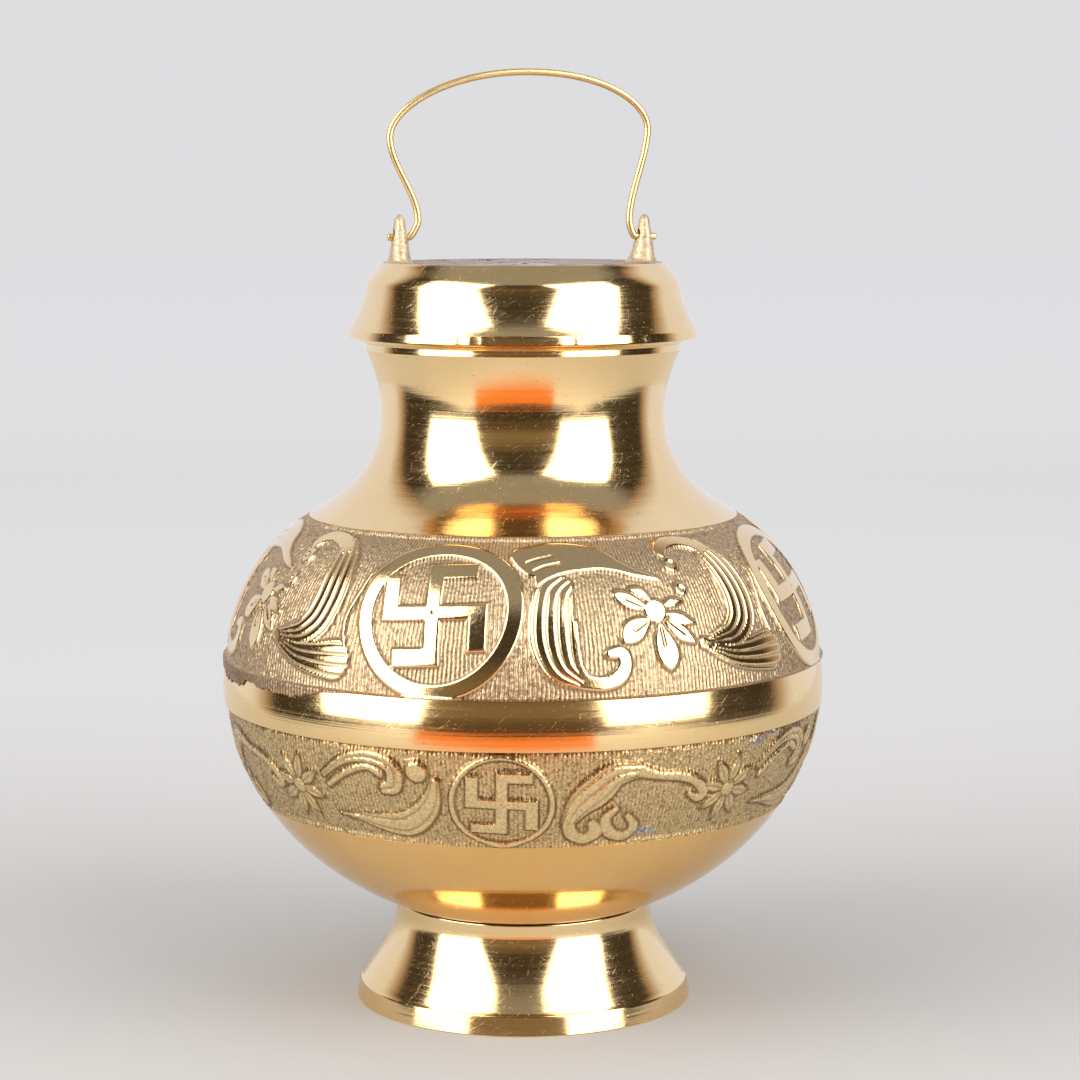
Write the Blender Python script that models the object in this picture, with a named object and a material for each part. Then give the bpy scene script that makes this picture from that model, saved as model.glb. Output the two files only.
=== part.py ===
"""Cast brass ritual water pot with a screw-on lid and a wire bail.

Metres, +Z up. The pot stands on z = 0 with its axis on world Z. The two lid lugs and the bail's
pivot lie along X, and the front of the pot faces -Y.
"""
import math

import bmesh
import bpy
from mathutils import Vector
from mathutils.geometry import interpolate_bezier

MM = 0.001

# Fits and fineness
GAP = 0.3 * MM                      # clearance between pieces that touch on the real pot
SEGMENTS = 40                       # facets around a turned piece
WIRE_RESOLUTION = 2                 # bevel resolution of the bail wire

# Foot: a turned ring, flared to a straight band at the floor
FOOT_RADIUS = 46.6 * MM
FOOT_HEIGHT = 27.4 * MM             # outer top edge, where the bowl sits
FOOT_BAND_HEIGHT = 5.2 * MM
FOOT_BAND_TAPER = 1.0 * MM
FOOT_BAND_ROUND = 0.5 * MM
FOOT_WAIST_RADIUS = 35.5 * MM
FOOT_COLLAR_HEIGHT = 2.2 * MM       # straight part under the bowl
FOOT_WALL = 2.4 * MM
FOOT_RIM_WIDTH = 3.6 * MM           # flat ring that stands on the floor
FOOT_FILLET = 2.2 * MM              # solder fillet inside the foot

# Belly: two cast halves that meet at the belt
BELLY_RADIUS = 82.5 * MM
BOWL_DEPTH = 69.3 * MM              # half height of the lower half ellipsoid
BODY_WALL = 3.0 * MM
BELT_RADIUS = 82.7 * MM
BELT_HEIGHT = 13.1 * MM
BELT_CROWN = 0.4 * MM               # how far the belt swells at its middle
BAND_RECESS = 0.6 * MM              # relief ground below the turned skin
LOWER_BAND_DROP = 26.3 * MM
SHOULDER_SWEEP = 42.5 * MM          # half width of the shoulder ellipse
SHOULDER_RISE = 50.1 * MM           # half height of the shoulder ellipse
SHOULDER_EDGE_RADIUS = 58.9 * MM    # top edge of the upper relief band
LAP_HEIGHT = 6.0 * MM               # tongue of the lower half inside the belt
LAP_THICKNESS = 1.1 * MM
SOLDER_HEIGHT = 1.6 * MM            # solder groove above the tongue

# Relief: cast forms that stand up from the ground to the turned skin, four like quarters to a band
RELIEF_REPEATS = 4
WALK_STATIONS = 60                  # fineness with which a wall's length is measured
RELIEF_LIFT = 0.1 * MM              # tops above the turned skin
RELIEF_ROOT = 1.7 * MM              # how far below the skin the forms are rooted in the wall
RING_SIDES = 16
UPPER_RING_TURN = math.radians(-27.35)  # first ring of the upper band, turned from the front
UPPER_RING_RISE = 21.2 * MM         # ring's middle above the belt
UPPER_RING_RADIUS = 22.0 * MM
UPPER_RING_WIDTH = 4.0 * MM
LOWER_RING_TURN = math.radians(-14.7)
LOWER_RING_DROP = 14.1 * MM         # ring's middle below the belt
LOWER_RING_RADIUS = 13.3 * MM
LOWER_RING_WIDTH = 1.2 * MM

# Forms beside a ring: turn from the ring in degrees, then distance from the belt and half width in mm
UPPER_PLUME = [(23.0, 29.0, 1.4), (22.2, 24.0, 4.7), (22.2, 15.5, 5.4), (24.2, 8.6, 4.2), (29.0, 4.8, 2.4),
               (33.6, 6.3, 2.3), (35.3, 11.2, 1.6)]
UPPER_CREST = [(18.9, 32.6, 1.2), (21.6, 37.3, 3.0), (28.0, 38.8, 3.3), (35.3, 35.5, 2.2), (43.6, 31.5, 0.5)]
UPPER_LEAF = [(52.7, 33.9, 1.2), (51.6, 38.4, 1.3), (55.6, 43.0, 1.4), (62.6, 41.9, 1.6), (67.2, 35.8, 1.9),
              (68.1, 27.0, 2.6), (65.2, 18.8, 2.8), (56.0, 13.9, 0.7)]
UPPER_FAN = [(50.4, 11.4, 1.2), (57.0, 10.9, 1.2), (63.0, 10.6, 2.3), (71.2, 9.9, 5.0)]
LOWER_PLUME = [(11.6, 20.6, 1.0), (12.6, 12.6, 2.0), (18.0, 5.8, 2.7), (26.0, 4.3, 2.0), (35.6, 6.1, 1.5),
               (39.3, 11.6, 1.5)]
LOWER_SCROLL = [(57.6, 5.4, 0.6), (64.6, 3.1, 1.3), (68.8, 6.8, 1.7), (68.0, 11.5, 2.0)]
LOWER_LEAF = [(54.0, 20.3, 0.6), (62.8, 24.0, 1.3), (70.4, 23.4, 2.6), (75.6, 18.0, 2.6), (77.8, 11.4, 0.8)]

# Flowers: heart as turn in degrees and distance in mm, then petals as (angle in degrees, length in mm)
UPPER_FLOWER_HEART = (43.0, 21.5)
UPPER_FLOWER_PETALS = [(43, 8.7), (144, 10.6), (226, 10.2), (270, 13.6), (316, 10.6), (347, 9.4)]
LOWER_FLOWER_HEART = (46.3, 13.1)
LOWER_FLOWER_PETALS = [(20, 8.6), (92, 10.4), (140, 8.2), (205, 8.2), (266, 9.4), (325, 8.4)]
FLOWER_WAIST = 0.36                 # valley between petals, as a share of a petal's length

# Neck and its brazed-in thread ring
THROAT_RADIUS = 39.2 * MM
NECK_RISE = 27.4 * MM               # from the upper band to the throat
SHOULDER_LEAD = 10.0 * MM           # how far the neck curve follows the shoulder's slope
THROAT_LEAD = 16.0 * MM             # how far it follows the straight throat
LIP_RISE = 20.7 * MM                # from the throat to the lip
LIP_FLARE = 40.0 * MM               # radius of the flare
THREAD_RING_WALL = 2.4 * MM
THREAD_RING_DEPTH = 10.0 * MM       # spigot below the lip
THREAD_LEDGE = 2.4 * MM             # how far the threaded part overhangs the spigot
THREAD_HEIGHT = 14.8 * MM           # threaded part above the lip
THREAD_CHAMFER = 0.8 * MM

# Lid, its brazed-in thread ring and the washer
WASHER_THICKNESS = 2.0 * MM
WASHER_PLAY = 0.6 * MM              # radial room for the washer in the crown
LID_RING_WALL = 2.2 * MM
LID_RING_HEIGHT = 11.5 * MM
LID_RING_RECESS = 0.6 * MM          # ring sits above the lid's bottom face
LID_WALL = 1.4 * MM                 # at the waist, outside the thread ring
LID_CROWN = 2.8 * MM
LID_OVERHANG = 3.1 * MM             # lid rim past the lip
LID_RIM_HEIGHT = 2.2 * MM
LID_RIM_TAPER = 0.4 * MM
LID_WAIST_RISE = 14.3 * MM
LID_FLANK_FLARE = 2.0 * MM          # how far the flank sweeps out to the rim
LID_WAIST_LEAN = 0.175              # slope of the wall at the waist
LID_TOP_INSET = 3.7 * MM            # flat top's edge inside the waist
LID_TOP_DROP = 0.4 * MM             # rounded edge of the flat top

# Lugs: cast ears with a tenon through the crown
LUG_INSET = 5.2 * MM                # lug's middle inside the flat top's edge
LUG_HEIGHT = 12.7 * MM
LUG_BASE_LENGTH = 9.4 * MM
LUG_BASE_WIDTH = 11.4 * MM
LUG_BASE_EDGE = 0.5 * MM
LUG_FILLET_RISE = 2.6 * MM
LUG_ROOT_THICKNESS = 5.5 * MM       # above the fillet
LUG_ROOT_WIDTH = 8.2 * MM
LUG_TIP_THICKNESS = 2.6 * MM        # under the rounded tip
LUG_TIP_WIDTH = 3.6 * MM
LUG_TIP_ROUND = 1.4 * MM
LUG_TIP_FLAT = 0.3                  # share of the tip's section left at the very top
LUG_SIDES = 18
TENON_RADIUS = 2.0 * MM

# Bail: one bent wire, sprung into the holes of the lugs
WIRE_RADIUS = 1.0 * MM
PIVOT_RISE = 6.9 * MM               # wire's axis above the lid's flat top
HOLE_PLAY = 0.75 * MM               # lug hole's radius over the wire's
BAIL_RISE = 45.8 * MM               # top of the arch above the pivot
BAIL_LEFT_REACH = 36.8 * MM         # widest point of the left leg from the axis
BAIL_LEFT_SHOULDER = 28.4 * MM      # its height above the pivot
BAIL_RIGHT_REACH = 35.2 * MM
BAIL_RIGHT_SHOULDER = 29.4 * MM
BAIL_CROWN_OFFSET = 1.5 * MM        # arch's highest point right of the axis
BAIL_CROWN_HANDLE = 22.8 * MM
BAIL_SHOULDER_HANDLE = 9.5 * MM
BAIL_LEG_HANDLE = 8.5 * MM
HOOK_INSET = 2.9 * MM               # leg's axis from the lug's inner face
HOOK_RISE = 4.4 * MM
HOOK_ROUND = 2.6 * MM
STUB_LENGTH = 1.4 * MM              # wire's end outside the lug
STUB_ROUND = 0.5 * MM

# Places that follow from the sizes above
BELLY_LEVEL = FOOT_HEIGHT + GAP + BOWL_DEPTH * math.sqrt(1.0 - (FOOT_WAIST_RADIUS / BELLY_RADIUS) ** 2)
BELT_BOTTOM = BELLY_LEVEL - BELT_HEIGHT / 2
INNER_BELLY_RADIUS = BELLY_RADIUS - BODY_WALL
LAP_RADIUS = INNER_BELLY_RADIUS + LAP_THICKNESS
LAP_TOP = BELT_BOTTOM + LAP_HEIGHT
SOLDER_LEDGE = LAP_TOP + SOLDER_HEIGHT + 2 * GAP
SHOULDER_CENTRE = BELLY_RADIUS - SHOULDER_SWEEP
SHOULDER_EDGE_ANGLE = math.acos((SHOULDER_EDGE_RADIUS - SHOULDER_CENTRE) / SHOULDER_SWEEP)
SHOULDER_EDGE_LEVEL = BELLY_LEVEL + SHOULDER_RISE * math.sin(SHOULDER_EDGE_ANGLE)
THROAT_LEVEL = SHOULDER_EDGE_LEVEL + NECK_RISE
LIP_LEVEL = THROAT_LEVEL + LIP_RISE
LIP_RADIUS = THROAT_RADIUS + LIP_FLARE - math.sqrt(LIP_FLARE ** 2 - LIP_RISE ** 2)
NECK_BORE = THROAT_RADIUS - BODY_WALL
THREAD_RING_OUTER = NECK_BORE - GAP
THREAD_RING_INNER = THREAD_RING_OUTER - THREAD_RING_WALL
THREAD_RADIUS = NECK_BORE + THREAD_LEDGE

# Places on the lid, measured up from its bottom face
LID_SEAT = LIP_LEVEL + GAP
WASHER_SEAT = THREAD_HEIGHT + GAP
CROWN_INSIDE = WASHER_SEAT + WASHER_THICKNESS + GAP
LID_HEIGHT = CROWN_INSIDE + LID_CROWN
LID_RING_INNER = THREAD_RADIUS + GAP
LID_RING_OUTER = LID_RING_INNER + LID_RING_WALL
LID_BORE = LID_RING_OUTER + GAP
LID_BORE_TOP = LID_RING_RECESS + LID_RING_HEIGHT + GAP
LID_WAIST_RADIUS = LID_BORE + LID_WALL
LID_RIM_RADIUS = LIP_RADIUS + LID_OVERHANG
LID_TOP_RADIUS = LID_WAIST_RADIUS - LID_TOP_INSET
LUG_OFFSET = LID_TOP_RADIUS - LUG_INSET
LUG_SEAT = LID_HEIGHT + GAP
PIVOT_LEVEL = LID_HEIGHT + PIVOT_RISE
HOLE_RADIUS = WIRE_RADIUS + HOLE_PLAY
HOLE_LEVEL = PIVOT_LEVEL + HOLE_PLAY - GAP
LUG_TAPER_START = LUG_SEAT + LUG_BASE_EDGE + LUG_FILLET_RISE
LUG_TAPER_END = LUG_SEAT + LUG_HEIGHT - LUG_TIP_ROUND
LUG_TAPER = (LUG_ROOT_THICKNESS - LUG_TIP_THICKNESS) / (LUG_TAPER_END - LUG_TAPER_START)
LUG_THICKNESS = LUG_ROOT_THICKNESS - LUG_TAPER * (PIVOT_LEVEL - LUG_TAPER_START)


def point(radius, height):
    """A point of a turned profile, in the XZ plane."""
    return Vector((radius, 0.0, height))


def ellipse_arc(centre, across, up, start, stop, count, inset=0.0):
    """Points on an elliptical arc, moved inwards along its normal by inset."""
    points = []
    for step in range(count):
        angle = start + (stop - start) * step / (count - 1)
        outward = Vector((math.cos(angle) / across, 0.0, math.sin(angle) / up)).normalized()
        on_arc = centre + Vector((across * math.cos(angle), 0.0, up * math.sin(angle)))
        points.append(on_arc - outward * inset)
    return points


def inset_curve(points, distance):
    """A rising outer profile moved towards the inside of the wall by distance."""
    moved = []
    for index, here in enumerate(points):
        before = points[max(index - 1, 0)]
        after = points[min(index + 1, len(points) - 1)]
        along = (after - before).normalized()
        moved.append(here + Vector((-along.z, 0.0, along.x)) * distance)
    return moved


def bowl_height(radius, drop=0.0):
    """Height of the bowl's underside at a radius, less drop."""
    return BELLY_LEVEL - BOWL_DEPTH * math.sqrt(1.0 - (radius / BELLY_RADIUS) ** 2) - drop


def principled(name, colour, roughness, metallic):
    """A plain material in the piece's own colour."""
    material = bpy.data.materials.new(name)
    material.use_nodes = True
    shader = material.node_tree.nodes["Principled BSDF"]
    shader.inputs["Base Color"].default_value = (*colour, 1.0)
    shader.inputs["Roughness"].default_value = roughness
    shader.inputs["Metallic"].default_value = metallic
    return material


def axis_empty(name, height, parent=None):
    """An empty that stands on a joint's axis."""
    empty = bpy.data.objects.new(name, None)
    empty.location.z = height
    empty.parent = parent
    bpy.context.collection.objects.link(empty)
    return empty


def add_object(name, data, material, parent=None):
    """Link a mesh or a curve to the scene as a named piece."""
    data.materials.append(material)
    piece = bpy.data.objects.new(name, data)
    piece.parent = parent
    bpy.context.collection.objects.link(piece)
    return piece


def add_mesh(name, bm, material, parent=None):
    """Turn a bmesh into a smooth-shaded piece with its faces pointing out."""
    bmesh.ops.remove_doubles(bm, verts=bm.verts, dist=0.001 * MM)
    bmesh.ops.recalc_face_normals(bm, faces=bm.faces)
    mesh = bpy.data.meshes.new(name)
    bm.to_mesh(mesh)
    bm.free()
    mesh.shade_smooth()
    mesh.set_sharp_from_angle(angle=math.radians(32))
    return add_object(name, mesh, material, parent)


def turned(name, profile, material, parent=None):
    """Spin a profile about Z: a closed loop, or a line with both ends on the axis."""
    bm = bmesh.new()
    verts = [bm.verts.new(spot) for spot in profile]
    edges = [bm.edges.new(pair) for pair in zip(verts, verts[1:])]
    if profile[0].x > 0:
        edges.append(bm.edges.new((verts[-1], verts[0])))
    bmesh.ops.spin(bm, geom=verts + edges, cent=(0, 0, 0), axis=(0, 0, 1),
                   angle=math.tau, steps=SEGMENTS, use_merge=True)
    return add_mesh(name, bm, material, parent)


def cut_round_hole(piece, name, centre, radius, length, turn_y=0.0):
    """Boolean a round hole through a piece, along Z or, turned about Y, along X."""
    bm = bmesh.new()
    bmesh.ops.create_cone(bm, cap_ends=True, segments=24, radius1=radius, radius2=radius, depth=length)
    mesh = bpy.data.meshes.new(name)
    bm.to_mesh(mesh)
    bm.free()
    cutter = bpy.data.objects.new(name, mesh)
    cutter.location = centre
    cutter.rotation_euler.y = turn_y
    cutter.parent = piece.parent
    cutter.hide_render = True
    cutter.display_type = "WIRE"
    bpy.context.collection.objects.link(cutter)
    boolean = piece.modifiers.new(name, "BOOLEAN")
    boolean.operation = "DIFFERENCE"
    boolean.object = cutter
    boolean.solver = "EXACT"


def wall_walk(centre, across, up, start, stop):
    """Distances, places and outward directions along an elliptical wall."""
    places = ellipse_arc(centre, across, up, start, stop, WALK_STATIONS)
    lifted = ellipse_arc(centre, across, up, start, stop, WALK_STATIONS, -MM)
    walk = []
    distance = 0.0
    for index, place in enumerate(places):
        distance += (place - places[max(index - 1, 0)]).length
        walk.append((distance, place, (lifted[index] - place) / MM))
    return walk


def on_wall(walk, turn, distance, lift):
    """The point at a turn round Z and a distance along a wall, lifted off its skin."""
    index = 1
    while walk[index][0] < distance and index < len(walk) - 1:
        index += 1
    start, low, low_out = walk[index - 1]
    end, high, high_out = walk[index]
    share = (distance - start) / (end - start)
    place = low.lerp(high, share) + low_out.lerp(high_out, share) * lift
    return Vector((place.x * math.sin(turn), -place.x * math.cos(turn), place.z))


def offset_on_wall(walk, turn, distance, across, along):
    """A turn and a distance moved by lengths across and along the wall."""
    radius = on_wall(walk, turn, distance, 0.0).xy.length
    return turn + across / radius, distance + along


def add_slab(bm, walk, left, right, closed):
    """A slab between two edges, given as turns and distances, rooted in the wall."""
    edges = ((left, RELIEF_LIFT), (right, RELIEF_LIFT), (right, -RELIEF_ROOT), (left, -RELIEF_ROOT))
    corners = []
    for edge, lift in edges:
        corners.append([bm.verts.new(on_wall(walk, turn, distance, lift)) for turn, distance in edge])
    count = len(left)
    for step in range(count if closed else count - 1):
        following = (step + 1) % count
        for side in range(4):
            here = corners[side]
            beside = corners[(side + 1) % 4]
            bm.faces.new((here[step], here[following], beside[following], beside[step]))
    if not closed:
        bm.faces.new([corner[0] for corner in corners])
        bm.faces.new([corner[-1] for corner in reversed(corners)])


def add_ring(bm, walk, turn, distance, radius, width):
    """A flat raised ring."""
    edges = []
    for reach in (radius, radius - width):
        edge = []
        for step in range(RING_SIDES):
            angle = math.tau * step / RING_SIDES
            along = reach * math.sin(angle)
            edge.append(offset_on_wall(walk, turn, distance, reach * math.cos(angle), along))
        edges.append(edge)
    add_slab(bm, walk, *edges, closed=True)


def add_stroke(bm, walk, ring_turn, stations):
    """A raised stroke that swells and narrows along its stations."""
    middle = []
    for turn, distance, half in stations:
        radius = on_wall(walk, 0.0, distance * MM, 0.0).xy.length
        middle.append(Vector((math.radians(turn) * radius, distance * MM)))
    left = []
    right = []
    for index, (turn, distance, half) in enumerate(stations):
        run = middle[min(index + 1, len(middle) - 1)] - middle[max(index - 1, 0)]
        aside = run.orthogonal().normalized() * half * MM
        place = (ring_turn + math.radians(turn), distance * MM)
        left.append(offset_on_wall(walk, *place, aside.x, aside.y))
        right.append(offset_on_wall(walk, *place, -aside.x, -aside.y))
    add_slab(bm, walk, left, right, closed=False)


def add_flower(bm, walk, ring_turn, heart, petals):
    """A raised flower: pointed petals round a heart."""
    turn = ring_turn + math.radians(heart[0])
    distance = heart[1] * MM
    rim = []
    for index, (angle, length) in enumerate(petals):
        next_angle, next_length = petals[(index + 1) % len(petals)]
        between = angle + ((next_angle - angle) % 360) / 2
        for heading, reach in ((angle, length), (between, min(length, next_length) * FLOWER_WAIST)):
            along = Vector((math.cos(math.radians(heading)), math.sin(math.radians(heading)))) * reach * MM
            rim.append(offset_on_wall(walk, turn, distance, along.x, along.y))
    top = [bm.verts.new(on_wall(walk, *place, RELIEF_LIFT)) for place in rim]
    root = [bm.verts.new(on_wall(walk, *place, -RELIEF_ROOT)) for place in rim]
    top_heart = bm.verts.new(on_wall(walk, turn, distance, RELIEF_LIFT))
    root_heart = bm.verts.new(on_wall(walk, turn, distance, -RELIEF_ROOT))
    for step in range(len(rim)):
        following = (step + 1) % len(rim)
        bm.faces.new((top_heart, top[step], top[following]))
        bm.faces.new((root_heart, root[following], root[step]))
        bm.faces.new((top[step], root[step], root[following], top[following]))


def raise_relief(piece, walk, first_turn, ring, strokes, flower):
    """Union a band's rings, strokes and flowers with the wall they are cast on."""
    bm = bmesh.new()
    for repeat in range(RELIEF_REPEATS):
        turn = first_turn + math.tau * repeat / RELIEF_REPEATS
        add_ring(bm, walk, turn, *ring)
        for stations in strokes:
            add_stroke(bm, walk, turn, stations)
        add_flower(bm, walk, turn, *flower)
    bmesh.ops.recalc_face_normals(bm, faces=bm.faces)
    name = f"{piece.name}_relief"
    mesh = bpy.data.meshes.new(name)
    bm.to_mesh(mesh)
    bm.free()
    forms = bpy.data.objects.new(name, mesh)
    forms.hide_render = True
    forms.display_type = "WIRE"
    bpy.context.collection.objects.link(forms)
    boolean = piece.modifiers.new(name, "BOOLEAN")
    boolean.operation = "UNION"
    boolean.object = forms
    boolean.solver = "EXACT"


def make_foot(brass):
    """Flared foot ring with a straight floor band, open underneath."""
    band_top = point(FOOT_RADIUS - FOOT_BAND_TAPER, FOOT_BAND_HEIGHT)
    waist = point(FOOT_WAIST_RADIUS, FOOT_HEIGHT - FOOT_COLLAR_HEIGHT)
    flare_drop = waist.z - band_top.z
    flare_reach = band_top.x - waist.x
    outer_flare = interpolate_bezier(
        band_top + point(-FOOT_BAND_ROUND, FOOT_BAND_ROUND),
        band_top + point(-flare_reach / 2, flare_drop / 3),
        waist - point(0, flare_drop / 3),
        waist, 6)
    inner_flare = inset_curve(outer_flare, FOOT_WALL)
    inner_waist = FOOT_WAIST_RADIUS - FOOT_WALL
    inner_rim = FOOT_RADIUS - FOOT_RIM_WIDTH
    profile = [
        point(inner_rim, 0),
        point(FOOT_RADIUS, 0),
        band_top - point(0, FOOT_BAND_ROUND),
        *outer_flare,
        point(FOOT_WAIST_RADIUS, FOOT_HEIGHT),
        point(inner_waist, bowl_height(inner_waist, GAP)),
        point(inner_waist, waist.z),
        *inner_flare[-2:0:-1],
    ]
    return turned("foot", profile, brass)


def make_foot_solder(solder):
    """Fillet that ties the foot's inside to the bowl's underside."""
    outer = FOOT_WAIST_RADIUS - FOOT_WALL - GAP
    inner = outer - FOOT_FILLET
    top = bowl_height(outer, GAP)
    profile = [point(outer, top), point(inner, bowl_height(inner, GAP)), point(outer, top - FOOT_FILLET)]
    return turned("foot_solder_ring", profile, solder)


def make_lower_bowl(brass):
    """Lower half: a half ellipsoid with a relief band and a tongue for the belt."""
    centre = point(0, BELLY_LEVEL)
    rim_angle = -math.asin((BELT_HEIGHT / 2 + GAP) / BOWL_DEPTH)
    band_angle = -math.asin((BELT_HEIGHT / 2 + LOWER_BAND_DROP) / BOWL_DEPTH)
    floor_angle = -math.pi / 2
    lap_angle = -math.asin((BELLY_LEVEL - BELT_BOTTOM) / BOWL_DEPTH)
    underside = ellipse_arc(centre, BELLY_RADIUS, BOWL_DEPTH, floor_angle, band_angle, 8)
    ground = ellipse_arc(centre, BELLY_RADIUS, BOWL_DEPTH, band_angle, rim_angle, 5, BAND_RECESS)
    inside = ellipse_arc(centre, INNER_BELLY_RADIUS, BOWL_DEPTH - BODY_WALL, lap_angle, floor_angle, 7)
    profile = underside + ground
    profile += [point(LAP_RADIUS, BELT_BOTTOM - GAP), point(LAP_RADIUS, LAP_TOP)]
    profile += [point(INNER_BELLY_RADIUS, LAP_TOP), *inside]
    profile[0].x = 0.0
    profile[-1].x = 0.0
    bowl = turned("lower_bowl", profile, brass)
    walk = wall_walk(centre, BELLY_RADIUS, BOWL_DEPTH, lap_angle, band_angle)
    ring = (LOWER_RING_DROP, LOWER_RING_RADIUS, LOWER_RING_WIDTH)
    strokes = (LOWER_PLUME, LOWER_SCROLL, LOWER_LEAF)
    raise_relief(bowl, walk, LOWER_RING_TURN, ring, strokes, (LOWER_FLOWER_HEART, LOWER_FLOWER_PETALS))
    return bowl


def make_belly_solder(solder):
    """Solder that fills the groove above the tongue, inside the belt."""
    inner = INNER_BELLY_RADIUS
    outer = LAP_RADIUS
    low = LAP_TOP + GAP
    high = low + SOLDER_HEIGHT
    profile = [point(inner, low), point(outer, low), point(outer, high), point(inner, high)]
    return turned("belly_solder_ring", profile, solder)


def make_upper_shell(brass):
    """Upper half: belt, relief band, shoulder, neck and flared lip."""
    belt_reach = BELT_HEIGHT / 2
    belt = []
    for step in range(5):
        across = step / 2 - 1
        belt.append(point(BELT_RADIUS - BELT_CROWN * across ** 2, BELLY_LEVEL + belt_reach * across))
    centre = point(SHOULDER_CENTRE, BELLY_LEVEL)
    belt_angle = math.asin(belt_reach / SHOULDER_RISE)
    ground = ellipse_arc(centre, SHOULDER_SWEEP, SHOULDER_RISE, belt_angle, SHOULDER_EDGE_ANGLE, 8,
                         BAND_RECESS)
    edge = point(SHOULDER_EDGE_RADIUS, SHOULDER_EDGE_LEVEL)
    slope = Vector((-SHOULDER_SWEEP * math.sin(SHOULDER_EDGE_ANGLE), 0.0,
                    SHOULDER_RISE * math.cos(SHOULDER_EDGE_ANGLE))).normalized()
    throat = point(THROAT_RADIUS, THROAT_LEVEL)
    neck = interpolate_bezier(edge, edge + slope * SHOULDER_LEAD, throat - point(0, THROAT_LEAD), throat, 7)
    flare_end = math.asin(LIP_RISE / LIP_FLARE)
    flare = []
    for step in range(1, 5):
        angle = flare_end * step / 4
        flare.append(throat + point(LIP_FLARE * (1 - math.cos(angle)), LIP_FLARE * math.sin(angle)))
    inner_neck = inset_curve(neck, BODY_WALL)
    ledge_angle = math.asin((SOLDER_LEDGE - BELLY_LEVEL) / SHOULDER_RISE)
    inner_shoulder = ellipse_arc(centre, SHOULDER_SWEEP, SHOULDER_RISE, SHOULDER_EDGE_ANGLE, ledge_angle, 5,
                                 BODY_WALL)
    counterbore = LAP_RADIUS + GAP
    profile = [point(counterbore, BELT_BOTTOM), *belt, *ground, *neck, *flare]
    profile += [point(NECK_BORE, LIP_LEVEL), *reversed(inner_neck[1:]), *inner_shoulder[:-1]]
    profile += [point(INNER_BELLY_RADIUS, SOLDER_LEDGE), point(counterbore, SOLDER_LEDGE)]
    shell = turned("upper_shell", profile, brass)
    walk = wall_walk(centre, SHOULDER_SWEEP, SHOULDER_RISE, belt_angle, SHOULDER_EDGE_ANGLE)
    ring = (UPPER_RING_RISE, UPPER_RING_RADIUS, UPPER_RING_WIDTH)
    strokes = (UPPER_PLUME, UPPER_CREST, UPPER_LEAF, UPPER_FAN)
    raise_relief(shell, walk, UPPER_RING_TURN, ring, strokes, (UPPER_FLOWER_HEART, UPPER_FLOWER_PETALS))
    return shell


def make_neck_thread_ring(brass):
    """Turned collar brazed into the mouth; its upper part carries the male thread."""
    shoulder = LIP_LEVEL + GAP
    top = shoulder + THREAD_HEIGHT
    bottom = LIP_LEVEL - THREAD_RING_DEPTH
    profile = [
        point(THREAD_RING_INNER, bottom),
        point(THREAD_RING_OUTER, bottom),
        point(THREAD_RING_OUTER, shoulder),
        point(THREAD_RADIUS, shoulder),
        point(THREAD_RADIUS, top - THREAD_CHAMFER),
        point(THREAD_RADIUS - THREAD_CHAMFER, top),
        point(THREAD_RING_INNER, top),
    ]
    return turned("neck_thread_ring", profile, brass)


def make_washer(rubber, lid_axis):
    """Flat washer under the lid's crown, pressed on the collar's top."""
    top = WASHER_SEAT + WASHER_THICKNESS
    profile = [
        point(THREAD_RING_INNER, WASHER_SEAT),
        point(THREAD_RADIUS, WASHER_SEAT),
        point(THREAD_RADIUS, top),
        point(THREAD_RING_INNER, top),
    ]
    return turned("sealing_washer", profile, rubber, lid_axis)


def make_lid_thread_ring(brass, lid_axis):
    """Turned ring brazed into the lid, with the female thread."""
    top = LID_RING_RECESS + LID_RING_HEIGHT
    profile = [
        point(LID_RING_INNER, LID_RING_RECESS),
        point(LID_RING_OUTER, LID_RING_RECESS),
        point(LID_RING_OUTER, top),
        point(LID_RING_INNER, top),
    ]
    return turned("lid_thread_ring", profile, brass, lid_axis)


def make_lid_shell(brass, lid_axis):
    """Bell-shaped lid: thin rim, sloping flank, rounded shoulder and flat top."""
    rim_top = point(LID_RIM_RADIUS - LID_RIM_TAPER, LID_RIM_HEIGHT)
    waist = point(LID_WAIST_RADIUS, LID_WAIST_RISE)
    top_edge = point(LID_TOP_RADIUS, LID_HEIGHT - LID_TOP_DROP)
    flank_rise = waist.z - rim_top.z
    crown_rise = top_edge.z - waist.z
    flank = interpolate_bezier(
        rim_top,
        rim_top + point(-LID_FLANK_FLARE, flank_rise / 4),
        waist - point(-LID_WAIST_LEAN, 1) * (flank_rise / 3),
        waist, 5)
    shoulder = interpolate_bezier(
        waist,
        waist + point(-LID_WAIST_LEAN, 1) * (crown_rise / 3),
        top_edge + point(LID_TOP_INSET / 3, -crown_rise / 3),
        top_edge, 5)
    recess = THREAD_RADIUS + WASHER_PLAY
    profile = [
        point(0, CROWN_INSIDE),
        point(recess, CROWN_INSIDE),
        point(recess, LID_BORE_TOP),
        point(LID_BORE, LID_BORE_TOP),
        point(LID_BORE, 0),
        point(LID_RIM_RADIUS, 0),
        *flank,
        *shoulder[1:],
        point(LID_TOP_RADIUS - LID_TOP_DROP, LID_HEIGHT),
        point(0, LID_HEIGHT),
    ]
    lid = turned("lid_shell", profile, brass, lid_axis)
    tenon_middle = (CROWN_INSIDE + LID_HEIGHT) / 2
    for side in (-1, 1):
        hole = Vector((side * LUG_OFFSET, 0.0, tenon_middle))
        cut_round_hole(lid, f"tenon_hole_{side}", hole, TENON_RADIUS + GAP, 2 * LID_CROWN)
    return lid


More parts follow.
